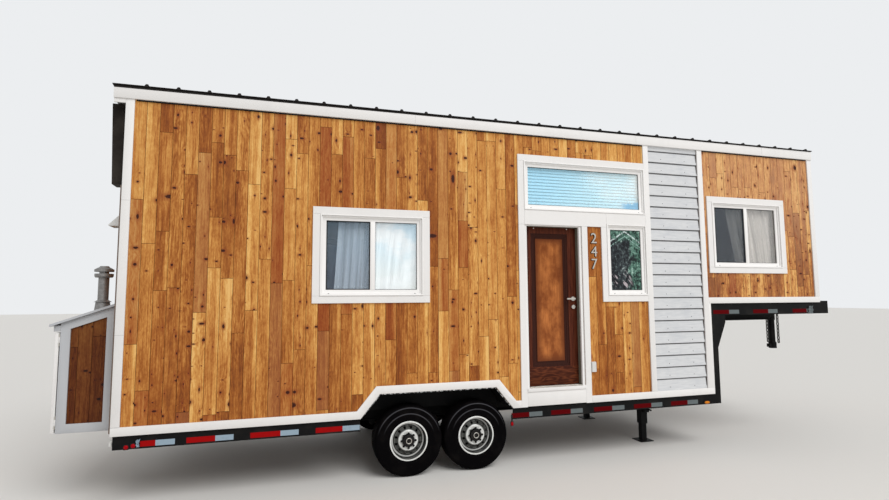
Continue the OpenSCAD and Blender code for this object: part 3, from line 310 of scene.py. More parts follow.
def knotField(s, u, v, share, kind):
    # the core, the halo, the turned grain and the tail of the knot that is nearest to a point
    cell, stretch, size = (knots[kind][k] for k in ("cell", "stretch", "size"))
    spots = {"feature": "F1", "voronoi_dimensions": "2D"}
    where = {"Vector": s.vector(u / cell, v / (cell * stretch)), "Scale": 1.0, "Randomness": 0.9}
    luck, large, wide = s.parts(s.node("ShaderNodeTexVoronoi", spots, where, out=1))
    midU, midV, _ = s.parts(s.node("ShaderNodeTexVoronoi", spots, where, out=2))
    across = u - midU * cell
    along = v - midV * (cell * stretch)
    shape = wide * 1.1 + 0.7
    ragged = s.fleck(150, 110)
    away = s.math("SQRT", (across / shape) ** 2 + (along * shape * 0.8) ** 2)
    near = away / ((large * large * 1.3 + 0.45) * size) + (ragged - 0.5) * 0.6
    shown = luck < share
    beside = abs(across) / (size * 1.5)
    tail = s.fall(beside, 0.1, 1.0) * s.fall(abs(along), 0.01, 0.075)
    tail = tail * shown * (wide < 0.45)
    core = s.fall(near, 0.7, 1.05) * shown
    halo = s.fall(near, 0.9, 2.7) * shown
    swirl = s.fall(near, 0.0, 6.5) * shown
    return core, halo, swirl, tail


def cedarFinish(name, fade=0.0, depth=(1, 1, 1), rugged=1.0):
    # each board's own tone, redness, knots and flame come from its faces
    s = Shade(name)

    # depth darkens every stain colour; the closet's shaded cedar uses it as painted shade
    stain = {key: tuple(v * d for v, d in zip(paint(*tone), depth + (1.0,))) for key, tone in cedar.items()}
    u, v, _ = s.grainMap()
    x, _, z = s.place()
    across = s.map("ShaderNodeUVMap", {"uv_map": "board"})[0]
    tone, warm, knotty, flame, sap, seam = (s.attribute(n) for n in boardFields)
    small = knotField(s, u, v, knotty * rugged, "small")
    large = knotField(s, u, v, 0.26 * rugged, "large")
    core, halo, swirl, tail = (s.math("MAXIMUM", a, b) for a, b in zip(small, large))

    wander = s.fleck(5, 0.8)
    lines = s.wave(u * 190 + wander * 30 + swirl * 7)
    contour = s.fleck(9, 0.8)
    flames = s.wave(contour * 110 + swirl * 5)
    fibre = s.fleck(260, 7, 3.0, 0.6)
    streak = s.fleck(95, 2.6, 3.0, 0.6)
    grit = s.fleck(78, 26, 2.0, 0.6)
    broad = s.fleck(11, 0.7)
    cloud = s.fleck(16, 6, 3.0, 0.6)
    border = across + (broad - 0.5) * 0.5        # pale sapwood along one edge of some boards
    sapwood = s.math("MAXIMUM", sap, 0.0) * s.smooth(border, 0.62, 0.78)
    sapwood = sapwood + s.math("MAXIMUM", -sap, 0.0) * s.fall(border, 0.22, 0.38)
    value = tone + (broad - 0.5) * 0.6 + (cloud - 0.5) * 0.46 * rugged + (streak - 0.5) * 0.66 * rugged
    value = value + sapwood * 0.3
    value = value - s.fall(z, 0.7, 2.3) * 0.07        # painted shade: darker towards the bottom
    # painted light and shade along the walls: darker low on the left, lighter from mid-wall on, darker low
    # down from the door onwards
    paintedLightZones = [s.smooth(x, at(a, 0, 0).x, at(b, 0, 0).x) for a, b in ((1.2, 2.4), (2.9, 3.7), (4.6, 5.2))]
    value = value - (1 - paintedLightZones[0]) * s.fall(z, 1.2, 2.2) * 0.09
    value = value + paintedLightZones[1] * 0.09 - paintedLightZones[2] * s.fall(z, 2.8, 3.3) * 0.15
    value = value + (grit - 0.5) * 0.34 * rugged + (fibre - 0.5) * 0.36
    if fade:
        high = s.smooth(z, house["neckLow"] + 0.2, house["neckLow"] + 1.5)
        value = value + high * 0.14 - 0.06
        fade = high * fade + fade * 0.4
    value = value - lines ** 3 * 0.08 - flames ** 2 * flame * 0.2
    steps = ((0.0, "dark"), (0.3, "brown"), (0.55, "honey"), (0.78, "light"), (1.0, "pale"))
    body = s.ramp(value, [(level, stain[key]) for level, key in steps])
    body = s.blend(s.math("MAXIMUM", warm, 0.0) * 0.58, body, stain["red"])
    body = s.blend(s.math("MAXIMUM", -warm, 0.0) * 0.5, body, stain["rose"])
    if fade:
        body = s.blend(fade, body, stain["faded"])
        blotch = s.fleck(22, 4, 3.0, 0.6)
        body = s.blend(s.smooth(blotch, 0.55, 0.7) * 0.42, body, stain["red"])
    body = s.blend(halo * 0.55, body, stain["ring"])
    body = s.blend(tail * 0.5, body, stain["ring"])
    body = s.blend(core, body, stain["knot"])
    body = s.blend(seam * 0.75, body, stain["seam"])
    return s.surface(body, fibre * 0.16 - halo * 0.1 + 0.55, depth=0.0006,
                     bump=fibre * 0.5 + lines * 0.4 - core * 0.6, specular_IOR_Level=0.18)


def boardPaint(name, colour, dirt=0.06, rough=0.42):
    # brushed paint on planed boards
    s = Shade(name)
    brush = s.speck((40, 40, 7), 3.0)
    cloud = s.speck(1.7, 3.0)
    streak = s.speck((14, 14, 0.9))
    worn = s.smooth(cloud * 0.6 + streak * 0.4, 0.42, 0.75)
    tone = s.blend(worn * dirt * 2, colour, dim(colour, 0.8))
    tone = s.blend(brush * 0.05, tone, dim(colour, 0.9))
    return s.surface(tone, brush * 0.12 + rough, bump=brush + cloud * 0.4, depth=0.0004,
                     specular_IOR_Level=0.4)


def lapPaintFinish():
    # thin grey-white stain that lets the grain and the knots show
    s = Shade("lapStain")
    grain = s.speck((6, 20, 150), 4.0, 0.6)
    spots = s.speck((9, 0, 24))
    cloud = s.speck((2.5, 1, 5))
    tone = s.blend(s.smooth(grain, 0.35, 0.7) * 0.4, (206, 207, 208), (172, 175, 180))
    tone = s.blend(s.smooth(spots * 0.5 + cloud * 0.5, 0.45, 0.68) * 0.5, tone, (182, 185, 190))
    return s.surface(tone, grain * 0.15 + 0.55, bump=grain + spots * 0.6, depth=0.0012,
                     specular_IOR_Level=0.2)


def metalPaint(name, colour, rough=0.35, dust=0.12, dustColour=(120, 112, 104), shine=0.5):
    s = Shade(name)
    fine = s.speck(60)
    dirty = s.smooth(s.speck(3, 4.0, 0.6), 0.45, 0.75) * dust
    tone = s.blend(dirty, colour, dustColour)
    return s.surface(tone, dirty * 1.5 + fine * 0.08 + rough, bump=fine, depth=0.0003,
                     metallic=0.0, specular_IOR_Level=shine)


def fromHub(s, part):
    # the distance from the nearer hub, as a share of the part's radius, and the angle round it
    x, _, z = s.place()
    low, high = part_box(part + "_near_rear")
    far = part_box(part + "_near_front")[1].x - high.x
    middle = (low + high) / 2
    along = s.math("MINIMUM", abs(x - middle.x), abs(x - middle.x - far))
    up = z - middle.z
    out = s.math("SQRT", along ** 2 + up ** 2) / ((high.x - low.x) / 2)
    return out, s.math("ARCTAN2", up, along)


def wheelFinish():
    # silver paint with grime speckle; the bright lips and bolt face are painted highlight, the dark hollows
    # and the dark round the hand holes are painted shade
    s = Shade("silverWheel")
    out, turn = fromHub(s, "rim")
    # painted shade round the hand holes
    holes = s.smooth(-s.math("COSINE", turn * 12), 0.1, 0.75)
    holes = holes * s.fall(abs(out - 0.645), 0.06, 0.10)
    grime = s.speck(14, 4.0, 0.6)
    bright, grey, dull, dark = ((v, v + 1, v - 2) for v in (224, 104, 56, 6))
    # painted highlight and shade: bright rings on the lips and bolt face, near-black rings in the hollows
    tone = s.ramp(out + (grime - 0.5) * 0.02, [
        (0.0, dark), (0.31, dark), (0.35, bright), (0.49, bright), (0.55, dull), (0.73, grey), (0.745, dark),
        (0.775, dark), (0.80, bright), (0.86, bright), (0.88, dark), (0.915, dark), (0.935, bright),
        (1.0, bright)])
    tone = s.blend(s.smooth(grime, 0.5, 0.75) * 0.3, tone, (64, 60, 54))
    tone = s.blend(holes * 0.85, tone, dark)
    return s.surface(tone, grime * 0.3 + 0.2, bump=grime, depth=0.0002, metallic=0.2,
                     specular_IOR_Level=0.12)


def chippedFinish():
    # a raw sheet edge with black paint that has flaked off in places
    s = Shade("chippedEdge")
    chips = s.speck(26, 4.0, 0.7)
    worn = s.smooth(chips, 0.49, 0.56)
    tone = s.blend(worn, (26, 26, 28), (216, 218, 220))
    return s.surface(tone, 0.6 - worn * 0.3, bump=chips, depth=0.0004, metallic=worn * 0.4)


def rubberFinish():
    # dusty rubber, with two painted highlight arcs on the upper side wall
    s = Shade("tyreRubber")
    fine = s.speck(90, 3.0)
    tone = s.blend(s.smooth(s.speck(8, 3.0), 0.45, 0.8) * 0.1, (5, 4, 5), (50, 45, 42))
    out, _ = fromHub(s, "tyre")
    highlightArcs = [s.fall(abs(out - ring), 0.006, soft) for ring, soft in ((0.765, 0.022), (0.93, 0.02))]
    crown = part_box("tyre_near_rear")[1].z
    above = s.smooth(s.place()[2], crown - 0.32, crown - 0.12)
    tone = s.blend(s.math("MAXIMUM", *highlightArcs) * above * 0.5, tone, (88, 88, 92))
    return s.surface(tone, fine * 0.15 + 0.65, bump=fine, depth=0.0006, specular_IOR_Level=0.03)


def brushedFinish(name, colour, rough=0.3, spangle=0.0):
    s = Shade(name)
    fine = s.speck((120, 120, 30))
    flakes = s.node("ShaderNodeTexVoronoi", {"feature": "F1"}, {"Vector": s.stretch(55), "Scale": 1.0}, 1)
    flake = s.parts(flakes)[0] * spangle
    tone = s.blend(flake + fine * 0.15, colour, dim(colour, 0.78))
    return s.surface(tone, fine * 0.12 + flake * 0.2 + rough, bump=fine, depth=0.0002, metallic=0.85)


def timberFinish(name, light, dark, along="z"):
    # planed softwood and sheet board inside the house
    s = Shade(name)
    grain = s.speck((70, 70, 3) if along == "z" else (3, 70, 70), 4.0, 0.6)
    tone = s.blend(s.smooth(grain * 0.6 + s.speck(1) * 0.4, 0.3, 0.7), light, dark)
    return s.surface(tone, grain * 0.2 + 0.55, bump=grain, depth=0.0005)


def clearGlass(s, tint):
    return s.node("ShaderNodeBsdfTransparent", None, {"Color": tint})


def matt(s, tone, rough):
    values = {"Base Color": tone, "Roughness": rough, "Specular IOR Level": 0.1}
    return s.node("ShaderNodeBsdfPrincipled", None, values)


def mixed(s, share, first, second):
    return s.node("ShaderNodeMixShader", None, [share, first, second])


def finishPane(s, tint, tone, share, mirror=0.02):
    # tinted glass under a faint veil of what it reflects, with a shine that grows towards the edge
    veiled = mixed(s, share, clearGlass(s, tint), matt(s, tone, 0.25))
    edge = s.node("ShaderNodeLayerWeight", None, {"Blend": 0.3})
    normal = s.node("ShaderNodeBump", None,
                    {"Height": s.speck(2.2, 1.0), "Distance": 0.002, "Strength": 0.4})
    shine = s.node("ShaderNodeBsdfGlossy", None,
                   {"Color": (0.95, 0.97, 1.0, 1.0), "Roughness": 0.03, "Normal": normal})
    return s.finish(mixed(s, edge * 0.25 + mirror, veiled, shine))


def glassFinish(name, tint, veil, share, window="side"):
    # painted reflection: the veil's colours up high, down low, and in its soft patches
    s = Shade(name)
    low, high = windowHole(window)[2:]
    upper, lower, cloud = veil
    tone = s.blend(s.smooth(s.place()[2], low, high), lower, upper)
    tone = s.blend(s.smooth(s.speck((1.6, 1, 2.4), 4.0, 0.6), 0.44, 0.62), tone, cloud)
    return finishPane(s, tint, tone, share)


def treeGlassFinish():
    # a pane that mirrors a dark mottled view under two pale slanted lines, with light streaks at its foot
    s = Shade("treeGlass")
    x, _, z = s.place()
    x0, x1, z0, z1 = windowHole("small")
    edge = 0.066
    across, up = (x - at(x0 + edge, 0, 0).x) / (x1 - x0 - 2 * edge), (z - z0 - edge) / (z1 - z0 - 2 * edge)
    mass = s.noise(s.vector(x * 6, 3.0, z * 5), 2.0)
    value = (s.speck((26, 0, 20), 3.0, 0.7) - 0.5) * 2.8 + (mass - 0.5) * 1.3 + 0.4
    greys = s.ramp(value, [(0.15, (9, 10, 14)), (0.5, (36, 42, 46)), (0.8, (80, 92, 92)),
                           (1.0, (160, 172, 170))])
    greens = s.ramp(value, [(0.1, (20, 34, 30)), (0.42, (66, 104, 90)), (0.75, (124, 160, 146)),
                            (1.0, (190, 218, 206))])
    green = s.smooth(across + (mass - 0.5) * 0.7, 0.6, 0.74)
    green = s.math("MAXIMUM", green, s.smooth(up + (mass - 0.5) * 0.4, 0.78, 0.9))
    tone = s.blend(green, greys, greens)
    lean = abs(across - 0.49) * 0.37
    wear = s.noise(s.vector(x * 40, 5.0, z * 40), 1.0)
    for drop, wide, hue in ((0.98, 0.02, (206, 222, 220)), (0.9, 0.014, (150, 186, 176))):
        line = s.fall(abs(up + lean - drop), wide * 0.4, wide)
        tone = s.blend(line * s.smooth(wear, 0.38, 0.62), tone, hue)
    streak = s.noise(s.vector(x * 22 + z * 20, 7.0, z * 4 - x * 3), 2.0)
    streak = s.smooth(streak, 0.58, 0.63) * s.fall(up, 0.2, 0.36)
    streak = streak * s.fall(across, 0.55, 0.75)
    tone = s.blend(streak * 0.8, tone, (198, 186, 190))
    return finishPane(s, (60, 70, 66), tone, 0.9, 0.01)


def skyGlassFinish():
    # a painted reflection of pale open sky with a band of white cloud, and a bluer patch low at the right
    s = Shade("skyGlass")
    x, _, z = s.place()
    x0, x1, z0, z1 = windowHole("transom")
    share, up = (x - at(x0, 0, 0).x) / (x1 - x0), (z - z0) / (z1 - z0)
    tone = s.blend(s.smooth(share - up * 0.25, -0.1, 0.6), (176, 226, 246), (216, 244, 250))
    smoke = s.speck((2.2, 1, 4), 4.0, 0.6)
    cloud = s.smooth(share * 0.9 - abs(up - 0.62) * 0.5 + (smoke - 0.5) * 0.9, 0.24, 0.9)
    tone = s.blend(cloud, tone, (252, 254, 250))
    tops = s.noise(s.vector(x * 14, 2.0, z * 6), 3.0, 0.6)
    patch = s.smooth(tops * 0.3 - up + share * 0.3, 0.12, 0.2) * s.smooth(share, 0.78, 0.86)
    tone = s.blend(patch * 0.85, tone, (118, 180, 216))
    return finishPane(s, (244, 250, 252), tone, patch * 0.35 + cloud * 0.1 + 0.27)


def screenFinish():
    # a woven insect screen with more hole than thread
    s = Shade("insectMesh")
    x, _, z = s.place()
    weave = s.grid(x, z, 2600) * 0.03 + 0.08
    return s.finish(mixed(s, weave, clearGlass(s, None), matt(s, (88, 100, 114), 0.7)))


def clothFinish(name, colour, weave=1100.0):
    s = Shade(name)
    u, v, _ = s.grainMap()
    thread = s.grid(u, v, weave) * 0.5 + 0.5
    slub = s.fleck(30, 4, 3.0)
    foldShade = s.fleck(24, 0.5, 2.0, 0.6)
    tone = s.blend(slub * 0.3, colour, dim(colour, 0.88))
    # painted shade in the folds
    tone = s.blend(s.smooth(foldShade, 0.42, 0.68) * 0.5, tone, dim(colour, 0.66))
    return s.surface(tone, 0.85, bump=thread, depth=0.0003, sheen_Weight=0.25,
                     specular_IOR_Level=0.1)


leaf = {"left": 4.314, "right": 5.040, "low": 0.895, "high": 2.833, "front": 0.0883}
doorFace = {"hinge": 0.100, "lever": 0.125, "low": 0.225, "high": 0.088, "mould": 0.064}


def doorPanel():
    # the moulding's outer edges: left, right, low and high
    return (leaf["left"] + doorFace["hinge"], leaf["right"] - doorFace["lever"],
            leaf["low"] + doorFace["low"], leaf["high"] - doorFace["high"])


def doorFinish():
    # dark stained stiles, a darker moulding and a warmer panel with burnished edges
    s = Shade("stainedDoor")
    x, _, z = s.place()
    x0, x1, z0, z1 = doorPanel()
    bounds = ((x, at(x0, 0, 0).x, at(x1, 0, 0).x), (z, z0, z1))

    def inside(step, soft=0.002):
        share = 1
        for way, low, high in bounds:
            share = share * s.smooth(way, low + step - soft, low + step + soft)
            share = share * s.fall(way, high - step - soft, high - step + soft)
        return share

    mould = doorFace["mould"]
    upright = s.speck((120, 20, 4), 4.0, 0.6)
    level = s.speck((5, 20, 90), 4.0, 0.6)
    waves = s.wave(s.speck((2.2, 0, 9)) * 60)
    mottle = s.speck((6, 1, 3.2), 4.0, 0.65)
    stile = s.blend(s.smooth(upright, 0.3, 0.7), (54, 20, 12), (94, 46, 28))
    bottom = s.blend(s.smooth(level * 0.75 + waves * 0.25, 0.3, 0.8), (60, 26, 16), (104, 54, 32))
    tone = s.blend(s.fall(z, z0 - 0.008, z0 - 0.004), stile, bottom)
    tone = s.blend(inside(0), tone, s.blend(upright, (38, 17, 12), (60, 28, 19)))
    warm = s.blend(s.smooth(mottle, 0.35, 0.68), (118, 60, 26), (186, 114, 60))
    warm = s.blend(s.smooth(upright, 0.35, 0.7) * 0.5, warm, (124, 66, 30))
    warm = s.blend(inside(mould + 0.045, 0.06), (100, 50, 24), warm)
    tone = s.blend(inside(mould), tone, warm)
    return s.surface(tone, upright * 0.14 + 0.42, bump=upright, depth=0.0004, specular_IOR_Level=0.1)


def tapeFinish(name, behind, ahead):
    # reflective sheeting with its fine cells, brighter behind the wheels than ahead of them
    s = Shade(name)
    forward = s.smooth(s.place()[0], at(2.6, 0, 0).x, at(4.0, 0, 0).x)
    cells = s.node("ShaderNodeTexVoronoi", {"feature": "DISTANCE_TO_EDGE"},
                   {"Vector": s.stretch((260, 0, 260)), "Scale": 1.0, "Randomness": 0.1})
    cloud = s.speck((20, 1, 20), 3.0)
    tone = s.blend(forward, behind, ahead)
    tone = s.blend(s.smooth(cells, 0.02, 0.1) * -0.2 + 0.2, tone, dim(behind, 0.6))
    tone = s.blend(s.smooth(cloud, 0.5, 0.8) * 0.2, tone, dim(behind, 0.45))
    return s.surface(tone, cloud * 0.15 + 0.4, bump=cells, depth=0.0002, specular_IOR_Level=0.03)


def lensFinish(name, colour):
    s = Shade(name)
    x, _, z = s.place()
    prisms = s.grid(x, z, 700)
    tone = s.blend(prisms * 0.25 + 0.25, colour, dim(colour, 0.5))
    return s.surface(tone, 0.3, bump=prisms, depth=0.0005, specular_IOR_Level=0.06,
                     coat_Weight=0.03, coat_Roughness=0.08)


def slatFinish():
    # aluminium slats that pick up the sky
    s = Shade("blindSlats")
    fine = s.speck((3, 0, 60), 3.0)
    tone = s.blend(s.smooth(fine, 0.3, 0.7) * 0.4, (206, 234, 244), (176, 218, 236))
    return s.surface(tone, fine * 0.1 + 0.35, bump=fine, depth=0.0003)


# painted reflections: each veil's colour up high, down low, and in its patches
blueVeil = ((138, 168, 188), (124, 128, 142), (150, 168, 180))
whiteVeil = ((206, 234, 250), (246, 248, 244), (252, 254, 255))
greyVeil = ((80, 96, 110), (74, 76, 86), (92, 98, 106))
paleVeil = ((170, 178, 178), (176, 176, 170), (210, 212, 208))
finishes = {
    "cedar": cedarFinish("knottyCedar"),
    "cedarPale": cedarFinish("paleCedar", fade=0.32, rugged=2.0),
    # painted shade: the shaded cedar and the shaded white are darkened copies for the closet
    "cedarShaded": cedarFinish("shadedCedar", depth=(0.3, 0.222, 0.19)),
    "white": boardPaint("whiteBoards", (225, 223, 221)),
    "whiteShaded": boardPaint("shadedBoards", (178, 180, 183)),
    "vinyl": boardPaint("whiteVinyl", (234, 232, 230), dirt=0.03, rough=0.28),
    "lap": lapPaintFinish(),
    "lapShade": boardPaint("lapShade", (104, 104, 106), rough=0.8),
    "blackSteel": metalPaint("blackSteel", (10, 10, 11), rough=0.5, dust=0.06, shine=0.12),
    "roof": metalPaint("bronzeRoofing", (22, 18, 16), rough=0.5, dust=0.15, dustColour=(58, 50, 46),
                       shine=0.15),
    "bronze": metalPaint("bronzePanel", (24, 19, 15), rough=0.55, dust=0.12, shine=0.12),
    # painted shade: the grey-brown strip behind the corner board
    "flashing": metalPaint("brownFlashing", (112, 96, 86), rough=0.5, dust=0.25, shine=0.3),
    "greyRoof": metalPaint("greyFlashing", (178, 180, 184), rough=0.35, dust=0.25),
    "silver": wheelFinish(),
    "chipped": chippedFinish(),
    "hubIron": metalPaint("hubIron", (10, 9, 9), rough=0.5, dust=0.1, shine=0.2),
    "rubber": rubberFinish(),
    "nickel": brushedFinish("satinNickel", (200, 196, 188), 0.26),
    # painted shadow behind the numerals
    "numeralShadowFinish": brushedFinish("agedBronze", (52, 36, 30), 0.5),
    "zinc": brushedFinish("zincPipe", (150, 148, 146), 0.42, spangle=0.5),
    "chain": brushedFinish("chainZinc", (46, 44, 40), 0.5),
    "framing": timberFinish("wallPanels", (150, 126, 98), (124, 102, 76)),
    "planks": timberFinish("floorPlanks", (132, 96, 66), (104, 72, 46), along="x"),
    "plastic": metalPaint("greyPlastic", (206, 206, 204), rough=0.5, dust=0.1),
    "pipe": metalPaint("whitePipe", (208, 208, 204), rough=0.4, dust=0.3),
    "door": doorFinish(),
    # painted shade on the door jamb's reveal
    "revealShade": metalPaint("greySeal", (112, 108, 96), rough=0.7, dust=0.2, shine=0.2),
    "gasket": metalPaint("blackGasket", (18, 18, 20), rough=0.6, dust=0.05, shine=0.2),
    "nail": metalPaint("nailHeads", (64, 66, 70), rough=0.5, dust=0.2, shine=0.2),
    "caulk": boardPaint("greyCaulk", (150, 148, 146), dirt=0.1, rough=0.6),
    "brightGlass": glassFinish("brightGlass", (250, 253, 255), whiteVeil, 0.3),
    "blueGlass": glassFinish("blueGlass", (232, 238, 244), blueVeil, 0.14),
    "greyGlass": glassFinish("greyGlass", (206, 205, 203), greyVeil, 0.08, "neck"),
    "softGlass": glassFinish("softGlass", (238, 235, 233), paleVeil, 0.06, "neck"),
    "dimGlass": glassFinish("dimGlass", (128, 132, 138), greyVeil, 0.3),
    "skyGlass": skyGlassFinish(),
    "treeGlass": treeGlassFinish(),
    "mesh": screenFinish(),
    "linen": clothFinish("paleLinen", (252, 253, 250)),
    "slat": slatFinish(),
    "red": tapeFinish("redTape", (152, 12, 14), (84, 3, 7)),
    "silverTape": tapeFinish("silverTape", (144, 163, 177), (100, 107, 108)),
    "amberLens": lensFinish("amberLens", (224, 132, 34)),
    "redLens": lensFinish("redLens", (168, 3, 16)),
}
print("finishes made:", len(finishes))

# Tools for shaping and keeping pieces


def clear():
    if bpy.context.object and bpy.context.object.mode != "OBJECT":
        mode("OBJECT")
    bpy.ops.object.select_all(action="DESELECT")


def only(piece):
    clear()
    bpy.context.view_layer.objects.active = piece
    piece.select_set(True)


def settle(piece, name):
    # the place goes into the mesh, and the piece gets its name
    only(piece)
    fresh(piece.scale)
    piece.name = piece.data.name = name
    return piece


def fresh(scale=(1, 1, 1)):
    # the active piece, at this scale, with its place and size put into its mesh
    piece = bpy.context.object
    piece.scale = scale
    bpy.ops.object.transform_apply(location=True, rotation=True, scale=True)
    return piece


def mode(name):
    bpy.ops.object.mode_set(mode=name)


def editAll():
    mode("EDIT")
    bpy.ops.mesh.select_all(action="SELECT")


def rounded(piece, degrees):
    only(piece)
    bpy.ops.object.shade_smooth_by_angle(angle=math.radians(degrees))


def keep(piece, finish, body="house", instead=None):
    piece.data.materials.clear()
    piece.data.materials.append(finishes[finish])
    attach(piece, body)
    if instead:
        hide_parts(instead)
    return piece


def keepTwins(piece, finish):
    # the piece on the door side, and the same on the back
    keep(piece, finish)
    keep(onBack(piece, piece.name + "Back"), finish)


def apply(piece, kind, **settings):
    modifier = piece.modifiers.new(kind.lower(), kind)
    for key, value in settings.items():
        setattr(modifier, key, value)
    only(piece)
    bpy.ops.object.modifier_apply(modifier=modifier.name)


def pick(piece, test):
    # selects the faces that pass the test, in edit mode, and says how many there are
    mesh = bmesh.from_edit_mesh(piece.data)
    found = 0
    for face in mesh.faces:
        chosen = bool(test(face.calc_center_median(), face))
        face.select_set(chosen)
        found += chosen
    mesh.select_flush_mode()
    bmesh.update_edit_mesh(piece.data)
    return found


def block(low, high, ease=0.002, steps=2):
    # a block with eased edges between two corners
    low, high = Vector(low), Vector(high)
    clear()
    bpy.ops.mesh.primitive_cube_add(size=1, location=(low + high) / 2)
    piece = fresh(high - low)
    if ease:
        editAll()
        bpy.ops.mesh.bevel(offset=ease, segments=steps, affect="EDGES")
        mode("OBJECT")
    return piece


def slab(xs, ys, zs, ease=0.002, steps=2):
    # a block by its spans from the rear end, from the door side and from the ground
    return block(*(at(*corner) for corner in zip(xs, ys, zs)), ease, steps)


def around(middle, half):
    return (middle - half, middle + half)


def rod(start, end, radius, sides=24, ease=0.0):
    start, end = Vector(start), Vector(end)
    clear()
    bpy.ops.mesh.primitive_cylinder_add(vertices=sides, radius=radius, depth=(end - start).length,
                                        location=(start + end) / 2,
                                        rotation=(end - start).to_track_quat("Z", "Y").to_euler())
    piece = bpy.context.object
    if ease:
        mode("EDIT")
        pick(piece, lambda m, f: len(f.verts) > 4)
        bpy.ops.mesh.bevel(offset=ease, segments=2, affect="EDGES")
        mode("OBJECT")
    only(piece)
    return fresh()


def stud(x, ys, z, radius, sides=24, ease=0.0):
    # a rod that points straight in from the door side
    return rod(at(x, ys[0], z), at(x, ys[1], z), radius, sides, ease)


def flatSheet(middle, wide, high):
    # a sheet that faces the door side
    clear()
    bpy.ops.mesh.primitive_plane_add(size=1, rotation=(math.pi / 2, 0, 0), location=middle)
    return fresh((wide, high, 1))


def ring(x0, x1, z0, z1, edge, y0, y1, ease=0.001):
    # a flat frame that faces the door side: inset, its middle taken out, then thickened
    piece = flatSheet(at((x0 + x1) / 2, y0, (z0 + z1) / 2), x1 - x0, z1 - z0)
    editAll()
    bpy.ops.mesh.inset(thickness=edge)
    bpy.ops.mesh.delete(type="FACE")
    mode("OBJECT")
    apply(piece, "SOLIDIFY", thickness=y1 - y0, offset=-1)
    if ease:
        apply(piece, "BEVEL", width=ease, segments=2)
    return piece


def join(parts, name):
    clear()
    for part in parts:
        part.select_set(True)
    bpy.context.view_layer.objects.active = parts[0]
    if len(parts) > 1:
        bpy.ops.object.join()
    return settle(parts[0], name)


def copyOf(piece, move=(0, 0, 0)):
    twin = piece.copy()
    twin.data = piece.data.copy()
    for key in list(twin.keys()):
        del twin[key]
    twin.parent = None
    bpy.context.scene.collection.objects.link(twin)
    twin.data.transform(Matrix.Translation(Vector(move)))
    return twin


def drop(piece):
    bpy.data.objects.remove(piece)


def onBack(piece, name):
    # the same piece on the back of the house, turned over across its middle
    twin = copyOf(piece)
    across = Matrix.Translation((0, 2 * cornerLow.y + width, 0))
    twin.data.transform(across @ Matrix.Scale(-1, 4, (0, 1, 0)))
    twin.data.flip_normals()
    twin.name = twin.data.name = name
    return twin


def eased(node, name, slot, finish, ease=0.0025):
    # a copy of a CAD node with its edges eased, which stands for it
    twin = copyOf(nodes[node])
    only(twin)
    editAll()
    bpy.ops.mesh.remove_doubles(threshold=0.00002)
    bpy.ops.mesh.dissolve_limited(angle_limit=math.radians(0.5))
    mode("OBJECT")
    apply(twin, "BEVEL", width=ease, segments=2, limit_method="ANGLE", angle_limit=math.radians(40))
    rounded(twin, 50)
    return keep(settle(twin, name), finish, nodes[node]["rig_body"], node)


# Nodes whose shape is right keep it and get their finish

plainNodes = {
    "blackSteel": ["side_rails", "main_beams", "cross_members", "gooseneck_frame", "neck_beams",
                   "hitch_coupler", "axles", "springs", "wheel_wells", "landing_legs"],
    "rubber": ["tyre_" + w for w in wheelNames],
    "silver": ["rim_" + w for w in wheelNames],
    "framing": ["near_wall_rear", "near_wall_over_door", "near_wall_front", "near_wall_gooseneck",
                "back_wall", "rear_wall", "riser_wall", "front_wall", "roof_deck", "closet_box"],
    "planks": ["floor"],
    "roof": ["metal_roof"],
    "greyRoof": ["closet_roof"],
    "nickel": ["door_handle", "hinges"],
    "zinc": ["vent_pipe"],
    "bronze": ["service_box"],
    "plastic": ["wall_fittings"],
}
for finish, members in plainNodes.items():
    for member in members:
        for spot in nodes[member].material_slots:
            spot.material = finishes[finish]

dressed = {
    "corner_boards": ("cornerBoards", "white_boards", "white"),
    "skirt_boards": ("skirtBoards", "white_boards", "white"),
    "fascia_boards": ("fasciaBoards", "white_boards", "white"),
    "closet_door": ("closetDoorLeaf", "white_boards", "white"),
    "door_frame": ("doorFrame", "white_boards", "white"),
    "closet_trim": ("closetTrim", "white_boards", "whiteShaded"),
    "window_frames": ("windowFrames", "white_vinyl", "vinyl", 0.003),
    "front_door": ("frontDoorLeaf", "door_wood", "door", 0.003),
}
for member, settings in dressed.items():
    eased(member, *settings)
print("nodes dressed")

# Cedar boards: one sheet a wall, cut into boards, grooved, then trimmed to the wall

boards = {
    "pitch": 0.1213, "shortest": 0.4, "longest": 2.4, "groove": 0.0021, "rise": 0.003,
    "thick": 0.0118, "shares": (0.09, 0.19, 0.30),
}


def seenFromBack(hole):
    return (house["length"] - hole[1], house["length"] - hole[0], hole[2], hole[3])


def trim(piece, point, normal, test):
    # cuts the faces that pass the test along a plane
    if pick(piece, test):
        bpy.ops.mesh.bisect(plane_co=point, plane_no=normal)


def touches(face, x0, x1, z0, z1):
    xs = [v.co.x for v in face.verts]
    zs = [v.co.z for v in face.verts]
    return max(xs) > x0 and min(xs) < x1 and max(zs) > z0 and min(zs) < z1


def cutHole(piece, x0, x1, z0, z1):
    for point, normal in (((x0, 0, 0), (1, 0, 0)), ((x1, 0, 0), (1, 0, 0)),
                          ((0, 0, z0), (0, 0, 1)), ((0, 0, z1), (0, 0, 1))):
        trim(piece, point, normal, lambda m, f: touches(f, x0, x1, z0, z1))
    if pick(piece, lambda m, f: x0 < m.x < x1 and z0 < m.z < z1):
        bpy.ops.mesh.delete(type="FACE")


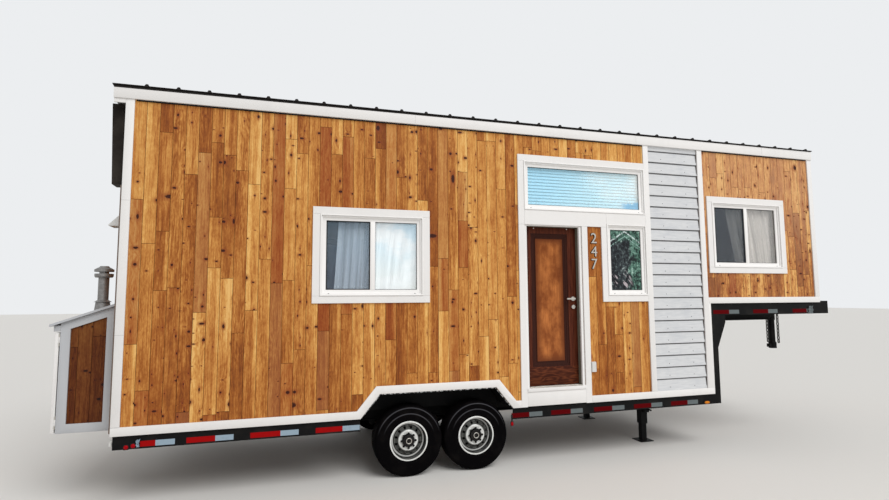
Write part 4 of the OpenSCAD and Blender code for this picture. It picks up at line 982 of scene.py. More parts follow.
def cutArch(piece, middle):
    # two slanted cuts and a level one, then what lies inside goes
    top, half, run, rise = arch["top"], arch["half"], arch["run"], arch["top"] - arch["low"]
    for way in (-1, 1):
        edge = middle + way * half
        reach = sorted((edge, edge + way * (run + 0.02)))
        trim(piece, (edge, 0, top), (rise, 0, way * run), lambda m, f: touches(f, *reach, 0, top))
    trim(piece, (0, 0, top), (0, 0, 1), lambda m, f: touches(f, middle - half, middle + half, 0, top))
    if pick(piece, lambda m, f: m.z < top and abs(m.x - middle) < half + run * (top - m.z) / rise):
        bpy.ops.mesh.delete(type="FACE")


def cutSlope(piece, point, normal):
    # what lies on the normal's side of a plane goes
    trim(piece, point, normal, lambda m, f: True)
    start, towards = Vector(point), Vector(normal)
    if pick(piece, lambda m, f: (m - start).dot(towards) > 0):
        bpy.ops.mesh.delete(type="FACE")


def boardKind(luck, mean, spread, calm):
    # most boards are honey, some red, some rose, some dark
    shade, red = luck.gauss(mean, spread), luck.uniform(-0.1, 0.16)
    redShare, roseShare, darkShare = boards["shares"]
    draw = luck.random() + (1.0 if calm else 0.0)
    if draw < redShare:
        shade, red = shade - 0.03, luck.uniform(0.6, 1.0)
    elif draw < roseShare:
        red = -luck.uniform(0.5, 1.0)
    elif draw < darkShare:
        shade -= 0.16
    knotShare = luck.choice((0.08, 0.16, 0.28, 0.42, 0.66))
    flamed = max(0.0, luck.uniform(-0.6, 1.0))
    sap = luck.uniform(0.4, 1.0) * luck.choice((-1, 1, 0, 0))
    return (shade, red, knotShare, flamed, sap), (luck.uniform(0, 40), luck.uniform(0, 40))


def boardWall(name, size, node, place, turn=0, holes=(), slopes=(), archAt=None, seed=1,
              finish="cedar", mean=0.54, spread=0.12, first=0.05, calm=False):
    # drawn along x and z, facing the door side, then turned and moved to its wall
    luck = random.Random(seed)
    (u0, u1), (z0, z1) = size
    piece = flatSheet(((u0 + u1) / 2, 0, (z0 + z1) / 2), u1 - u0, z1 - z0)
    mode("EDIT")
    bpy.ops.mesh.select_mode(type="FACE")
    seams, edge = [], u0 + first
    while edge < u1 - 0.01:
        seams.append(edge)
        trim(piece, (edge, 0, 0), (1, 0, 0), lambda m, f: touches(f, edge, edge, z0, z1))
        edge += boards["pitch"]
    ends = []
    for column in range(len(seams) + 1):
        left = seams[column - 1] if column else u0
        right = seams[column] if column < len(seams) else u1
        heights, level = [], z0 + luck.uniform(0.1, boards["longest"] * 0.7)
        while level < z1 - 0.12:
            heights.append(level)
            trim(piece, (0, 0, level), (0, 0, 1), lambda m, f: left < m.x < right)
            level += luck.uniform(boards["shortest"], boards["longest"])
        ends.append(heights)
    pick(piece, lambda m, f: True)
    bpy.ops.mesh.inset(thickness=boards["groove"], depth=boards["rise"], use_individual=True)
    for hole in holes:
        cutHole(piece, *hole)
    for point, normal in slopes:
        cutSlope(piece, point, normal)
    if archAt is not None:
        cutArch(piece, archAt)
    mode("OBJECT")

    kinds = {}
    mesh = piece.data
    for field in boardFields:
        mesh.attributes.new(field, "FLOAT", "FACE")
    for layer in ("grain", "board"):
        mesh.uv_layers.new(name=layer)
    fields = [mesh.attributes[field].data for field in boardFields]
    grain, onBoard = (mesh.uv_layers[layer].data for layer in ("grain", "board"))
    for face in mesh.polygons:
        column = bisect.bisect(seams, face.center.x)
        row = bisect.bisect(ends[column], face.center.z)
        if (column, row) not in kinds:
            kinds[column, row] = boardKind(luck, mean, spread, calm)
        marks, (du, dv) = kinds[column, row]
        left = seams[column] - boards["pitch"] if column < len(seams) else seams[-1]
        for field, mark in zip(fields, marks + (1.0 if abs(face.normal.y) < 0.95 else 0.0,)):
            field[face.index].value = mark
        for loop in face.loop_indices:
            corner = mesh.vertices[mesh.loops[loop].vertex_index].co
            grain[loop].uv = (corner.x + du, corner.z + dv)
            onBoard[loop].uv = ((corner.x - left) / boards["pitch"], corner.z)
    apply(piece, "SOLIDIFY", thickness=boards["thick"], offset=-1)
    for step in (Matrix.Translation((0, boards["rise"], 0)), Matrix.Rotation(math.radians(turn), 4, "Z"),
                 Matrix.Translation(place)):
        piece.data.transform(step)
    keep(settle(piece, name), finish, "house", node)


underNeck = (house["body"], house["length"] + 0.1, 0, house["neckLow"])
near = at(0, 0, 0)
boardWall("nearBoards", ((0, house["lap"][0]), (house["low"], house["top"])), "near_cladding", near,
          holes=[windowHole(n) for n in ("side", "transom", "small")] + [doorway],
          archAt=arch["middle"], seed=11)
boardWall("neckBoards", ((house["lap"][1], house["length"]), (house["low"], house["top"])),
          "near_cladding", near, holes=[windowHole("neck"), underNeck], seed=23, finish="cedarPale",
          mean=0.51, spread=0.2, first=0.09)
boardWall("backBoards", ((0, house["length"]), (house["low"], house["backTop"])), "back_cladding",
          at(house["length"], width, 0), 180, seed=37, archAt=house["length"] - arch["middle"],
          holes=[seenFromBack(windowHole(n)) for n in ("side", "small", "neck")]
          + [seenFromBack(underNeck)])


def roofCut(turned):
    # the roof's underside across an end wall; a wall that faces the rear is drawn from the back
    slope = house["fall"] / width
    height = house["roofTop"] - house["deck"] - 0.001
    return (((width if turned else 0), 0, height), ((-slope if turned else slope), 0, 1))


rim = house["wall"]
boardWall("rearBoards", ((rim, width - rim), (house["low"], house["top"])), "end_cladding",
          at(0, width, 0), -90, slopes=[roofCut(True)], seed=41)
boardWall("riserBoards", ((rim, width - rim), (house["low"], house["neckLow"] - 0.0003)),
          "end_cladding", at(house["body"], 0, 0), 90, seed=43)
boardWall("frontBoards", ((rim, width - rim), (house["neckLow"], house["top"])), "end_cladding",
          at(house["length"], 0, 0), 90, slopes=[roofCut(False)], seed=47)
closetTop = closet["top"] + closet["rise"] * closet["depth"]
# painted shade: the closet's two sides take the darkened cedar and a lower tone
for name, span, y, turn, way, seed in (
        ("closetNearBoards", (-closet["depth"], -0.0003), closet["near"], 0, -1, 53),
        ("closetBackBoards", (0.0003, closet["depth"]), closet["back"], 180, 1, 59)):
    boardWall(name, (span, (closet["low"], closetTop)), "end_cladding", at(0, y, 0), turn,
              slopes=[((0, 0, closetTop), (way * closet["rise"], 0, 1))], seed=seed,
              finish="cedarShaded", mean=0.44, first=0.03, calm=True)

# Lapped boards beside the small window: one is shaped and copied up the wall

laps = {"count": 21, "pitch": 0.1492, "first": 0.758, "high": 0.1332, "butt": -0.003, "tip": 0.0105,
        "side": 0.0025, "backing": 0.0132, "wall": 0.0149, "ease": 0.0022, "flatFront": 0.0005,
        "footGap": 0.012, "nailUp": 0.040, "nailShares": (0.27, 0.75), "nailOut": 0.0012,
        "nailIn": 0.004, "nailRadius": 0.0052, "endShadowWide": 0.0085, "endShadowShares": (0.24, 0.26),
        "endShadowFace": 0.0006, "endShadowSide": 0.0008}
lapX = (house["lap"][0] + laps["side"], house["lap"][1] - laps["side"])


def lapFace(up):
    # how far in a lapped board's front lies, at a height above its foot
    return laps["butt"] + (laps["tip"] - laps["butt"]) * up / laps["high"]


def upTheWall(piece):
    # a copy at every lap, in place of the piece
    copies = [copyOf(piece, (0, 0, step * laps["pitch"])) for step in range(laps["count"])]
    drop(piece)
    return copies


def lapBoards():
    top, back = laps["first"] + laps["high"], laps["backing"]
    first = slab(lapX, (laps["butt"], back), (laps["first"], top), 0)
    for vertex in first.data.vertices:      # the upper front edge leans back
        if vertex.co.z > top - 0.001 and vertex.co.y < near.y:
            vertex.co.y = at(0, laps["tip"], 0).y
    apply(first, "BEVEL", width=laps["ease"], segments=2)
    made = upTheWall(first)
    last = laps["first"] + laps["count"] * laps["pitch"]
    for zs in ((house["low"], laps["first"] - laps["footGap"]), (last, house["top"])):
        made.append(slab(lapX, (laps["flatFront"], back), zs))
    keep(join(made, "lapBoards"), "lap", "house", "lap_siding")
    shade = slab(house["lap"], (back, laps["wall"]), (house["low"], house["top"]), 0.0003, 1)
    keep(settle(shade, "lapBacking"), "lapShade", "house", "lap_siding")


def lapEnds():
    # painted shadow: dark strips on the laps' ends, where they stand off the white boards
    (x0, x1), high, face = lapX, laps["high"], laps["endShadowFace"]
    upper, lower = laps["endShadowShares"]
    deep, thin = laps["backing"] - 0.002, laps["backing"] - laps["endShadowSide"]
    endShadows = []
    for xs, foot, top in (((x1 - laps["endShadowWide"], x1 + laps["endShadowSide"]), upper * high, high),
                          ((x0 - laps["endShadowSide"], x0 + laps["endShadowWide"]), 0, lower * high)):
        endShadowWide = slab(xs, (deep, thin), (laps["first"] + foot, laps["first"] + top), 0)
        for vertex in endShadowWide.data.vertices:
            if vertex.co.y < at(0, (deep + thin) / 2, 0).y:
                vertex.co.y = at(0, lapFace(vertex.co.z - laps["first"]) - face, 0).y
        endShadows += upTheWall(endShadowWide)
    keep(join(endShadows, "lapEnds"), "lapShade")


def lapNails():
    (x0, x1), y = house["lap"], lapFace(laps["nailUp"])
    nails = []
    for lap in range(laps["count"]):
        z = laps["first"] + lap * laps["pitch"] + laps["nailUp"]
        for share in laps["nailShares"]:
            nails.append(stud(x0 + (x1 - x0) * share, (y - laps["nailOut"], y + laps["nailIn"]), z,
                              laps["nailRadius"], 8))
    keep(join(nails, "lapNails"), "nail")


lapBoards()
lapEnds()
lapNails()
print("boards laid")

# White boards round the windows and the door, one by one

casing = {"wide": 0.079, "thick": 0.018, "gap": 0.0004, "ease": 0.0022, "doorHead": 2.839}


def casingBoard(x0, x1, z0, z1):
    gap = casing["gap"]
    return slab((x0 + gap, x1 - gap), (-casing["thick"], 0), (z0 + gap, z1 - gap), casing["ease"])


def casingRound(name):
    x0, x1, z0, z1 = windowHole(name)
    w = casing["wide"]
    return [casingBoard(*b) for b in ((x0 - w, x1 + w, z1, z1 + w), (x0 - w, x1 + w, z0 - w, z0),
                                      (x0 - w, x0, z0, z1), (x1, x1 + w, z0, z1))]


def entryCasings():
    # the transom, the door and the small window share their boards
    w, head = casing["wide"], casing["doorHead"]
    small, transom = windowHole("small"), windowHole("transom")
    return [casingBoard(*b) for b in (
        (transom[0] - w, transom[0], arch["low"], head),
        (transom[0] - w, transom[0], head, transom[3]),
        (transom[0] - w, transom[1], transom[3], transom[3] + w),
        (transom[0], small[0], head, transom[2]),
        (small[0], small[1], small[3], transom[2]),
        (doorway[1], doorway[1] + w, arch["low"], head),
        (small[0] - w, small[0], small[2] - w, head),
        (small[0], small[1], small[2] - w, small[2]))]


nearCasings = join(casingRound("side") + casingRound("neck") + entryCasings(), "nearCasings")
keep(nearCasings, "white", "house", "casings")
backCasings = join(casingRound("side") + casingRound("neck") + casingRound("small"), "casingsToTurn")
keep(onBack(backCasings, "backCasings"), "white", "house", "casings")
drop(backCasings)

# Caulked joints in the long fascia boards and in the rear corner board
caulk = {"wide": 0.0016, "fasciaX": (5.905, 8.01, 2.93), "fasciaZ": (3.956, 4.072),
         "fasciaY": (-0.0303, -0.0297), "cornerZ": (2.93, 1.62, 0.757), "cornerX": (-0.017, 0.06),
         "cornerY": (-0.0183, -0.0177)}
caulks = [slab((x, x + caulk["wide"]), caulk["fasciaY"], caulk["fasciaZ"], 0) for x in caulk["fasciaX"]]
caulks += [slab(caulk["cornerX"], caulk["cornerY"], (z, z + caulk["wide"]), 0) for z in caulk["cornerZ"]]
keep(join(caulks, "caulkLines"), "caulk")
print("casings nailed")

# Windows: panes, gaskets, screens

sash = {
    "face": 0.066, "mullion": 0.054, "glass": (0.025, 0.031), "front": 0.008, "glassEase": 0.001,
    "lip": {"gap": 0.0006, "wide": 0.013, "proud": -0.027, "ease": 0.0025},
    "weep": {"in": 0.095, "half": 0.008, "z": (0.023, 0.028), "y": (0.0008, 0.0012), "ease": 0.0004},
    "gasket": {"wide": 0.005, "thick": 0.003},
    "screen": {"back": 0.003, "rail": 0.011, "thick": 0.008, "net": 0.009, "netY": (0.003, 0.004)},
}
panes = {"side": ("blueGlass", "brightGlass"), "neck": ("greyGlass", "softGlass"),
         "small": ("treeGlass",), "transom": ("skyGlass",)}


def paneSpans(name):
    x0, x1, z0, z1 = windowHole(name)
    face, half, middle = sash["face"], sash["mullion"] / 2, (x0 + x1) / 2
    halves = [(x0 + face, middle - half), (middle + half, x1 - face)]
    spans = halves if windows[name]["split"] else [(x0 + face, x1 - face)]
    return [(left, right, z0 + face, z1 - face) for left, right in spans]


def frameTrim(name):
    # the frame's outer lip, which stands proud of the casing, and its two weep slots
    x0, x1, z0, z1 = windowHole(name)
    edge, weep, front = sash["lip"], sash["weep"], -sash["front"]
    gap = edge["gap"]
    lip = settle(ring(x0 + gap, x1 - gap, z0 + gap, z1 - gap, edge["wide"], edge["proud"],
                      front - 0.0002, edge["ease"]), name + "Lip")
    slots = [slab(around(x, weep["half"]), (front - weep["y"][0], front + weep["y"][1]),
                  (z0 + weep["z"][0], z0 + weep["z"][1]), weep["ease"], 1)
             for x in (x0 + weep["in"], x1 - weep["in"])]
    return [keep(lip, "vinyl"),
            keep(join(slots, name + "Weeps"), "gasket")]


def insectScreen(name, x0, x1, z0, z1):
    screen = sash["screen"]
    y, edge, (y0, y1) = sash["front"] + screen["back"], screen["net"], screen["netY"]
    rail = settle(ring(x0, x1, z0, z1, screen["rail"], y, y + screen["thick"]), name + "ScreenRail")
    net = settle(slab((x0 + edge, x1 - edge), (y + y0, y + y1), (z0 + edge, z1 - edge), 0),
                 name + "ScreenNet")
    net.visible_shadow = False
    return [keep(rail, "gasket"), keep(net, "mesh")]


def addWindow(name):
    made = []
    split, (y0, y1), rubber = windows[name]["split"], sash["glass"], sash["gasket"]
    for side, (x0, x1, z0, z1) in enumerate(paneSpans(name)):
        place = ("Left", "Right")[side] if split else ""
        pane = settle(slab((x0, x1), (y0, y1), (z0, z1), sash["glassEase"]), name + "Glass" + place)
        pane.visible_shadow = False      # daylight reaches the curtains
        keep(pane, panes[name][side], "house", "window_glass")
        thick = rubber["thick"]
        gasket = join([ring(x0, x1, z0, z1, rubber["wide"], y - thick, y) for y in (y0, y1 + thick)],
                      name + "Gasket" + place)
        made += [pane, keep(gasket, "gasket")]
        if side == 0:
            made += frameTrim(name)
            made += insectScreen(name, x0, x1, z0, z1) if split else []
    return made


def turnWindow(made):
    # the back's windows have the same pieces, with dimmer glass
    for piece in made:
        twin = onBack(piece, piece.name + "Back")
        if "Glass" in piece.name:
            twin.visible_shadow = False
            keep(twin, "dimGlass", "house", "window_glass")
        elif "Lip" in piece.name:
            keep(twin, "vinyl")
        else:
            keep(twin, "mesh" if "Net" in piece.name else "gasket")


for name in windows:
    made = addWindow(name)
    if name != "transom":
        turnWindow(made)
print("windows glazed")

# Curtains on rods, and the slatted blind behind the transom

hangings = {"rod": 0.007, "cap": 0.011, "capLong": 0.012, "cloth": 0.0006, "y": 0.092, "low": 0.012,
            "high": 0.022, "rodUp": 0.004, "perFold": 14, "rows": 26}


def curtain(name, hole, x0, x1, folds, depth, seed, lean=0.0):
    # gathered on a rod that is sprung between the window's sides; the folds wander as they fall
    luck = random.Random(seed)
    low, high, y = hole[2] + hangings["low"], hole[3] - hangings["high"], hangings["y"]
    columns, rows = folds * hangings["perFold"], hangings["rows"]
    bends = [(luck.uniform(1.3, 3.7), luck.uniform(0, 6.28), luck.uniform(0.4, 1.1)) for _ in range(3)]
    verts, lengths = [], []
    for row in range(rows + 1):
        down = row / rows
        line = []
        for column in range(columns + 1):
            along = column / columns
            sway = sum(size * math.sin(turns * along * math.tau + start) for turns, start, size in bends)
            phase = math.tau * folds * along + sway + 0.5 * down * math.sin(9 * along + seed)
            swell = depth * (0.65 + 0.35 * down) * (0.7 + 0.3 * math.sin(9.3 * along + seed))
            left = x0 + lean * down
            line.append(at(left + (x1 - left) * along + 0.004 * math.sin(phase * 2),
                           y + swell * math.sin(phase), high - (high - low) * down))
        lengths.append([0.0])
        for a, b in zip(line, line[1:]):
            lengths[-1].append(lengths[-1][-1] + (b - a).length)
        verts += line
    step = columns + 1
    corners = [r * step + c for r in range(rows) for c in range(columns)]
    mesh = bpy.data.meshes.new(name)
    mesh.from_pydata(verts, [], [(i, i + step, i + step + 1, i + 1) for i in corners])
    grain = mesh.uv_layers.new(name="grain")
    for loop in mesh.loops:
        row, column = divmod(loop.vertex_index, step)
        grain.data[loop.index].uv = (lengths[row][column], verts[loop.vertex_index].z)
    piece = bpy.data.objects.new(name, mesh)
    bpy.context.scene.collection.objects.link(piece)
    only(piece)
    bpy.ops.object.shade_smooth()
    apply(piece, "SOLIDIFY", thickness=hangings["cloth"], offset=0)
    keep(settle(piece, name), "linen")
    flat = (round(sum(line[-1] for line in lengths) / len(lengths), 3), round(high - low, 3))
    left, right = (at(x, y, high + hangings["rodUp"]) for x in (hole[0] + 0.001, hole[1] - 0.001))
    cap = Vector((hangings["capLong"], 0, 0))
    pole = join([rod(left, right, hangings["rod"], 16), rod(left, left + cap, hangings["cap"], 20, 0.002),
                 rod(right - cap, right, hangings["cap"], 20, 0.002)], name + "Rod")
    keep(pole, "nickel")
    print("curtain", name, "flat", *flat)


side, neck = windowHole("side"), windowHole("neck")
curtain("sideCurtain", side, side[0] + 0.21, side[1] - 0.012, 10, 0.022, 3, lean=-0.05)
curtain("neckCurtain", neck, neck[0] + 0.33, neck[1] - 0.012, 7, 0.026, 8, lean=0.17)

blind = {"pitch": 0.040, "wide": 0.0375, "tilt": -70, "thick": 0.0006, "crown": 0.0035, "y": 0.062,
         "side": 0.036, "span": (0.06, 0.05), "rails": ((0.014, "top", -0.05, -0.031),
                                                        (0.012, "foot", 0.036, 0.046)),
         "cord": 0.0011, "cordShares": (0.1, 0.5, 0.9), "cordY": 0.0135, "cordEnd": 0.045}


def transomBlind():
    x0, x1, z0, z1 = windowHole("transom")
    x0, x1, y = x0 + blind["side"], x1 - blind["side"], blind["y"]
    clear()
    bpy.ops.mesh.primitive_grid_add(x_subdivisions=2, y_subdivisions=6, size=1)
    first = fresh((x1 - x0, blind["wide"], 1))
    for vertex in first.data.vertices:      # each slat is crowned across its width
        vertex.co.z = blind["crown"] * (1 - (2 * vertex.co.y / blind["wide"]) ** 2)
    first.data.transform(Matrix.Rotation(math.radians(-blind["tilt"]), 4, "X"))
    apply(first, "SOLIDIFY", thickness=blind["thick"], offset=0)
    rounded(first, 40)
    slats = []
    level = z0 + blind["span"][0]
    while level < z1 - blind["span"][1]:
        slats.append(copyOf(first, at((x0 + x1) / 2, y, level)))
        level += blind["pitch"]
    drop(first)
    for half, end, low, high in blind["rails"]:
        foot = z1 if end == "top" else z0
        slats.append(slab((x0, x1), around(y, half), (foot + low, foot + high)))
    keep(join(slats, "transomBlind"), "slat")
    cords = []
    for share in blind["cordShares"]:
        x = x0 + (x1 - x0) * share
        for cordY in around(y, blind["cordY"]):
            cords.append(rod(at(x, cordY, z0 + blind["cordEnd"]), at(x, cordY, z1 - blind["cordEnd"]),
                             blind["cord"], 8))
    keep(join(cords, "blindTapes"), "vinyl")


transomBlind()
print("hangings up")

# The front door: grey-olive strips as painted shade on the jamb's reveal, a sill plate, caps over its head,
# beads round its panel

opening = {"left": 4.321, "right": 5.033, "sill": 0.890, "head": 2.826}
doorTrim = {
    "revealShade": {"thick": 0.003, "y": (0.030, 0.087), "end": 0.002},
    "plate": {"side": 0.004, "y": (-0.026, 0.084), "thick": 0.003},
    "ridge": {"side": 0.006, "y": (0.0, 0.02, 0.04, 0.06), "wide": 0.006, "z": (0.002, 0.005)},
    "cap": {"x": (4.455, 4.912), "z": 2.808, "y": (-0.004, 0.001), "radius": 0.0075},
    "bead": {"wide": 0.007, "outer": (0.0005, 0.0055), "inner": (0.0062, 0.0112), "ease": 0.002},
}


def addDoorTrim():
    left, right, sill, head = (opening[k] for k in ("left", "right", "sill", "head"))
    revealShade, plate, ridge, cap, bead = (doorTrim[k] for k in ("revealShade", "plate", "ridge", "cap", "bead"))
    thick, end = revealShade["thick"], revealShade["end"]
    # painted shade: grey-olive strips over the jamb's reveal, where the white jamb lies in shadow
    revealShades = [slab(xs, revealShade["y"], zs, 0.001) for xs, zs in (
        ((left, left + thick), (sill + end, head - end)), ((right - thick, right), (sill + end, head - end)),
        ((left + thick, right - thick), (head - thick, head)))]
    keep(join(revealShades, "doorSeals"), "revealShade")
    plates = [slab((left + plate["side"], right - plate["side"]), plate["y"],
                   (sill, sill + plate["thick"]), 0.001)]
    plates += [slab((left + ridge["side"], right - ridge["side"]), (y, y + ridge["wide"]),
                    (sill + ridge["z"][0], sill + ridge["z"][1]), 0.001) for y in ridge["y"]]
    keep(join(plates, "doorSillPlate"), "nickel")
    front = leaf["front"]
    caps = [stud(x, (front + cap["y"][0], front + cap["y"][1]), cap["z"], cap["radius"], 16, 0.001)
            for x in cap["x"]]
    keep(join(caps, "doorHeadCaps"), "nickel", "front_door")
    x0, x1, z0, z1 = doorPanel()
    beads = []
    for inner, (y0, y1) in ((0, bead["outer"]), (doorFace["mould"] - bead["wide"], bead["inner"])):
        beads.append(ring(x0 + inner, x1 - inner, z0 + inner, z1 - inner, bead["wide"], front + y0,
                          front + y1, bead["ease"]))
    keep(join(beads, "doorBeads"), "door", "front_door")


addDoorTrim()

# Numerals beside the door: plain ones, bevelled, on short pegs, each with a dark swollen copy behind it as
# painted shadow
numerals = {"text": "247", "x": 5.240, "z": (2.696, 2.529, 2.371), "high": 0.128, "deep": 0.004,
            "bevel": 0.0012, "y": -0.008, "rim": 0.0048, "shadowShift": (-0.003, 0.0052, -0.001),
            "pegUp": 0.05, "pegY": (-0.006, 0.002), "peg": 0.003}


def addNumerals():
    made, shadowCopies = [], []
    for figure, z in zip(numerals["text"], numerals["z"]):
        clear()
        bpy.ops.object.text_add(rotation=(math.pi / 2, 0, 0))
        text = bpy.context.object.data
        text.body = figure
        text.extrude = numerals["deep"] / 2
        text.bevel_depth = numerals["bevel"]
        bpy.ops.object.convert(target="MESH")
        piece = fresh()
        corners = [v.co for v in piece.data.vertices]
        lows, highs = ([end(c[i] for c in corners) for i in range(3)] for end in (min, max))
        size = numerals["high"] / (highs[2] - lows[2])
        piece.data.transform(Matrix.Translation([-(a + b) / 2 for a, b in zip(lows, highs)]))
        piece.data.transform(Matrix.Diagonal((size, 1, size, 1)))
        piece.data.transform(Matrix.Translation(at(numerals["x"], numerals["y"], z)))
        # painted shadow: a dark copy, shifted left and down and swollen by the rim width
        shadowCopies.append(copyOf(piece, numerals["shadowShift"]))
        apply(shadowCopies[-1], "DISPLACE", strength=numerals["rim"], mid_level=0)
        made += [piece, stud(numerals["x"], numerals["pegY"], z + numerals["pegUp"], numerals["peg"], 10)]
    keep(join(made, "houseNumerals"), "nickel")
    keep(join(shadowCopies, "numeralRims"), "numeralShadowFinish")


addNumerals()
print("door dressed")

# Small fixings

roofing = {"ribs": 31, "first": 0.167, "pitch": 0.289, "beside": 0.05, "sheet": 0.0083,
           "head": 0.005, "headRadius": 0.006, "rows": (0.03, 0.26, 0.5, 0.74, 0.97)}


def roofScrews():
    # rows of screws beside every rib
    first = rod((0, 0, 0), (0, 0, roofing["head"]), roofing["headRadius"], 6)
    first.data.transform(Matrix.Rotation(-math.atan2(house["fall"], width), 4, "X"))
    copies = []
    for rib in range(roofing["ribs"]):
        x = roofing["first"] + rib * roofing["pitch"] + roofing["beside"]
        for share in roofing["rows"]:
            z = house["roofTop"] - house["fall"] * share + roofing["sheet"]
            copies.append(copyOf(first, at(x, width * share, z)))
    drop(first)
    keep(join(copies, "roofScrews"), "roof")


serviceBox = {"top": 0.160, "foot": 0.134, "rivets": 6, "rise": 0.14, "first": 0.06, "edge": 0.028,
              "wallX": -0.03, "out": 0.0012, "in": 0.003, "radius": 0.005}


def boxRivets():
    # screw heads down the service box's near face, beside its two long edges
    low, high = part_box("service_box")
    y = low.y - near.y
    heads = []
    for step in range(serviceBox["rivets"]):
        z = low.z + serviceBox["first"] + step * serviceBox["rise"]
        up = (z - low.z) / (high.z - low.z)
        deep = serviceBox["foot"] + (serviceBox["top"] - serviceBox["foot"]) * up
        for x in (serviceBox["edge"] - deep, serviceBox["wallX"]):
            heads.append(stud(x, (y - serviceBox["out"], y + serviceBox["in"]), z, serviceBox["radius"], 8))
    keep(join(heads, "boxRivets"), "roof")


rear = {"return": ((-0.122, -0.0185), (-0.0178, 0), (3.908, 3.9518)), "cornerShadeZ": (0.70, 3.08),
        "flash": (((-0.034, -0.0184), (0.0003, 0.0118)), ((-0.0345, -0.0184), (0.0118, 0.03)))}
edges = {"drip": ((-0.1245, 8.9375), (-0.0317, -0.0302), (4.0600, 4.0757)), "dripLow": (4.0545, 4.0725),
         "fasciaShadowY": (-0.0085, -0.0002), "fasciaShadowZ": (3.9375, 3.9518), "fasciaShadowEnd": 0.075, "lapGap": 0.08}


def rearEnd():
    # the white return under the fascia's end, and painted shade behind the corner board: a grey-brown strip
    # standing for white trim in shadow
    keep(settle(slab(*rear["return"]), "fasciaReturn"), "white")
    flash = [slab(xs, ys, rear["cornerShadeZ"], 0.001) for xs, ys in rear["flash"]]
    keep(join(flash, "cornerFlashing"), "flashing")


def longEdges():
    # the roofing's folded edge, which hides the top of the long fascia boards
    fold = slab(*edges["drip"], 0)
    behind, ahead = edges["dripLow"]
    for vertex in fold.data.vertices:       # it narrows towards the front
        if vertex.co.z < ahead:
            vertex.co.z = ahead if vertex.co.x > 0 else behind
    keep(settle(fold, "dripEdge"), "roof")
    # painted shadow: a black strip along the gap under the long fascia board
    (lap0, lap1), gap, end = house["lap"], edges["lapGap"], edges["fasciaShadowEnd"]
    strips = [slab(xs, edges["fasciaShadowY"], edges["fasciaShadowZ"], 0.001, 1)
              for xs in ((end, lap0 - gap), (lap1 + gap, house["length"] - end))]
    keep(join(strips, "friezeSeal"), "gasket")


drain = {"start": (0.020, 0.05, 0.628), "radius": 0.018, "run": 0.014, "bend": 0.028, "drop": 0.022,
         "wall": 0.004, "steps": 6}


def drainPipe():
    # a straight tube drawn upwards, then led out of the rail's rear end and round a bend, open below
    start, bend, run = at(*drain["start"]), drain["bend"], drain["run"]
    quarter = bend * math.pi / 2
    clear()
    bpy.ops.mesh.primitive_circle_add(vertices=24, radius=drain["radius"], fill_type="NOTHING")
    piece = bpy.context.object
    mode("EDIT")
    bpy.ops.mesh.select_mode(type="EDGE")
    bpy.ops.mesh.select_all(action="SELECT")
    for step in [run] + [quarter / drain["steps"]] * drain["steps"] + [drain["drop"]]:
        bpy.ops.mesh.extrude_region_move(TRANSFORM_OT_translate={"value": (0, 0, step)})
    bpy.ops.mesh.select_mode(type="FACE")
    bpy.ops.mesh.select_all(action="SELECT")
    bpy.ops.mesh.normals_make_consistent(inside=False)
    mode("OBJECT")
    for vertex in piece.data.vertices:
        out, side, along = vertex.co
        angle = min(max(along - run, 0) / bend, math.pi / 2)
        vertex.co = (start.x - min(along, run) - math.sin(angle) * (bend + out), start.y + side,
                     start.z - bend + math.cos(angle) * (bend + out) - max(along - run - quarter, 0))
    apply(piece, "SOLIDIFY", thickness=drain["wall"], offset=-1)
    rounded(piece, 50)
    keep(settle(piece, "drainPipe"), "pipe")


well = {"thick": 0.0068, "y": 0.0062, "share": 0.86}


def wellEdge():
    # the well's raw sheet edge, which shows as a thin chipped line inside the white trim
    thick, y, share = well["thick"], well["y"], well["share"]
    top, reach = arch["top"] - thick, arch["run"] * share
    left, right = arch["middle"] - arch["half"] + thick, arch["middle"] + arch["half"] - thick
    foot = arch["top"] - (arch["top"] - arch["low"]) * share
    turns = [(left - reach, foot), (left, top), (right, top), (right + reach, foot)]
    bars = [rod(at(a[0], y, a[1]), at(b[0], y, b[1]), thick, 8) for a, b in zip(turns, turns[1:])]
    keepTwins(join(bars, "wellEdge"), "chipped")


chains = {"x": 9.470, "spots": (1.168, 1.372), "top": 1.7017, "links": 9, "wire": 0.0082,
          "wide": 0.048, "long": 0.074, "slack": 0.0004, "eye": (0.006, 0.016, 0.012)}


def safetyChains():
    # one stadium link, copied down in turn along and across, under an eye plate
    x, top, wire, (half, side, deep) = chains["x"], chains["top"], chains["wire"], chains["eye"]
    clear()
    bpy.ops.mesh.primitive_torus_add(major_segments=14, minor_segments=8,
                                     major_radius=chains["wide"] / 2 - wire, minor_radius=wire,
                                     rotation=(math.pi / 2, 0, 0))
    link = settle(bpy.context.object, "link")
    stretch = (chains["long"] - chains["wide"]) / 2
    for vertex in link.data.vertices:
        vertex.co.z += math.copysign(stretch, vertex.co.z) if abs(vertex.co.z) > 1e-5 else 0
    only(link)
    bpy.ops.object.shade_smooth()
    pitch = chains["long"] - 2 * wire - chains["slack"]
    made = []
    for y in chains["spots"]:
        made.append(slab(around(x, half), around(y, side), (top - deep, top - 0.0003)))
        for step in range(chains["links"]):
            turned = copyOf(link)
            turned.data.transform(Matrix.Rotation(math.pi / 2 * (step % 2), 4, "Z"))
            z = top - deep - chains["long"] / 2 + wire - step * pitch
            turned.data.transform(Matrix.Translation(at(x, y, z)))
            made.append(turned)
    drop(link)
    keep(join(made, "safetyChains"), "chain")


for fix in (roofScrews, boxRivets, rearEnd, longEdges, drainPipe, wellEdge, safetyChains):
    fix()
print("fixings on")

# Reflective tapes and lamps on the rails

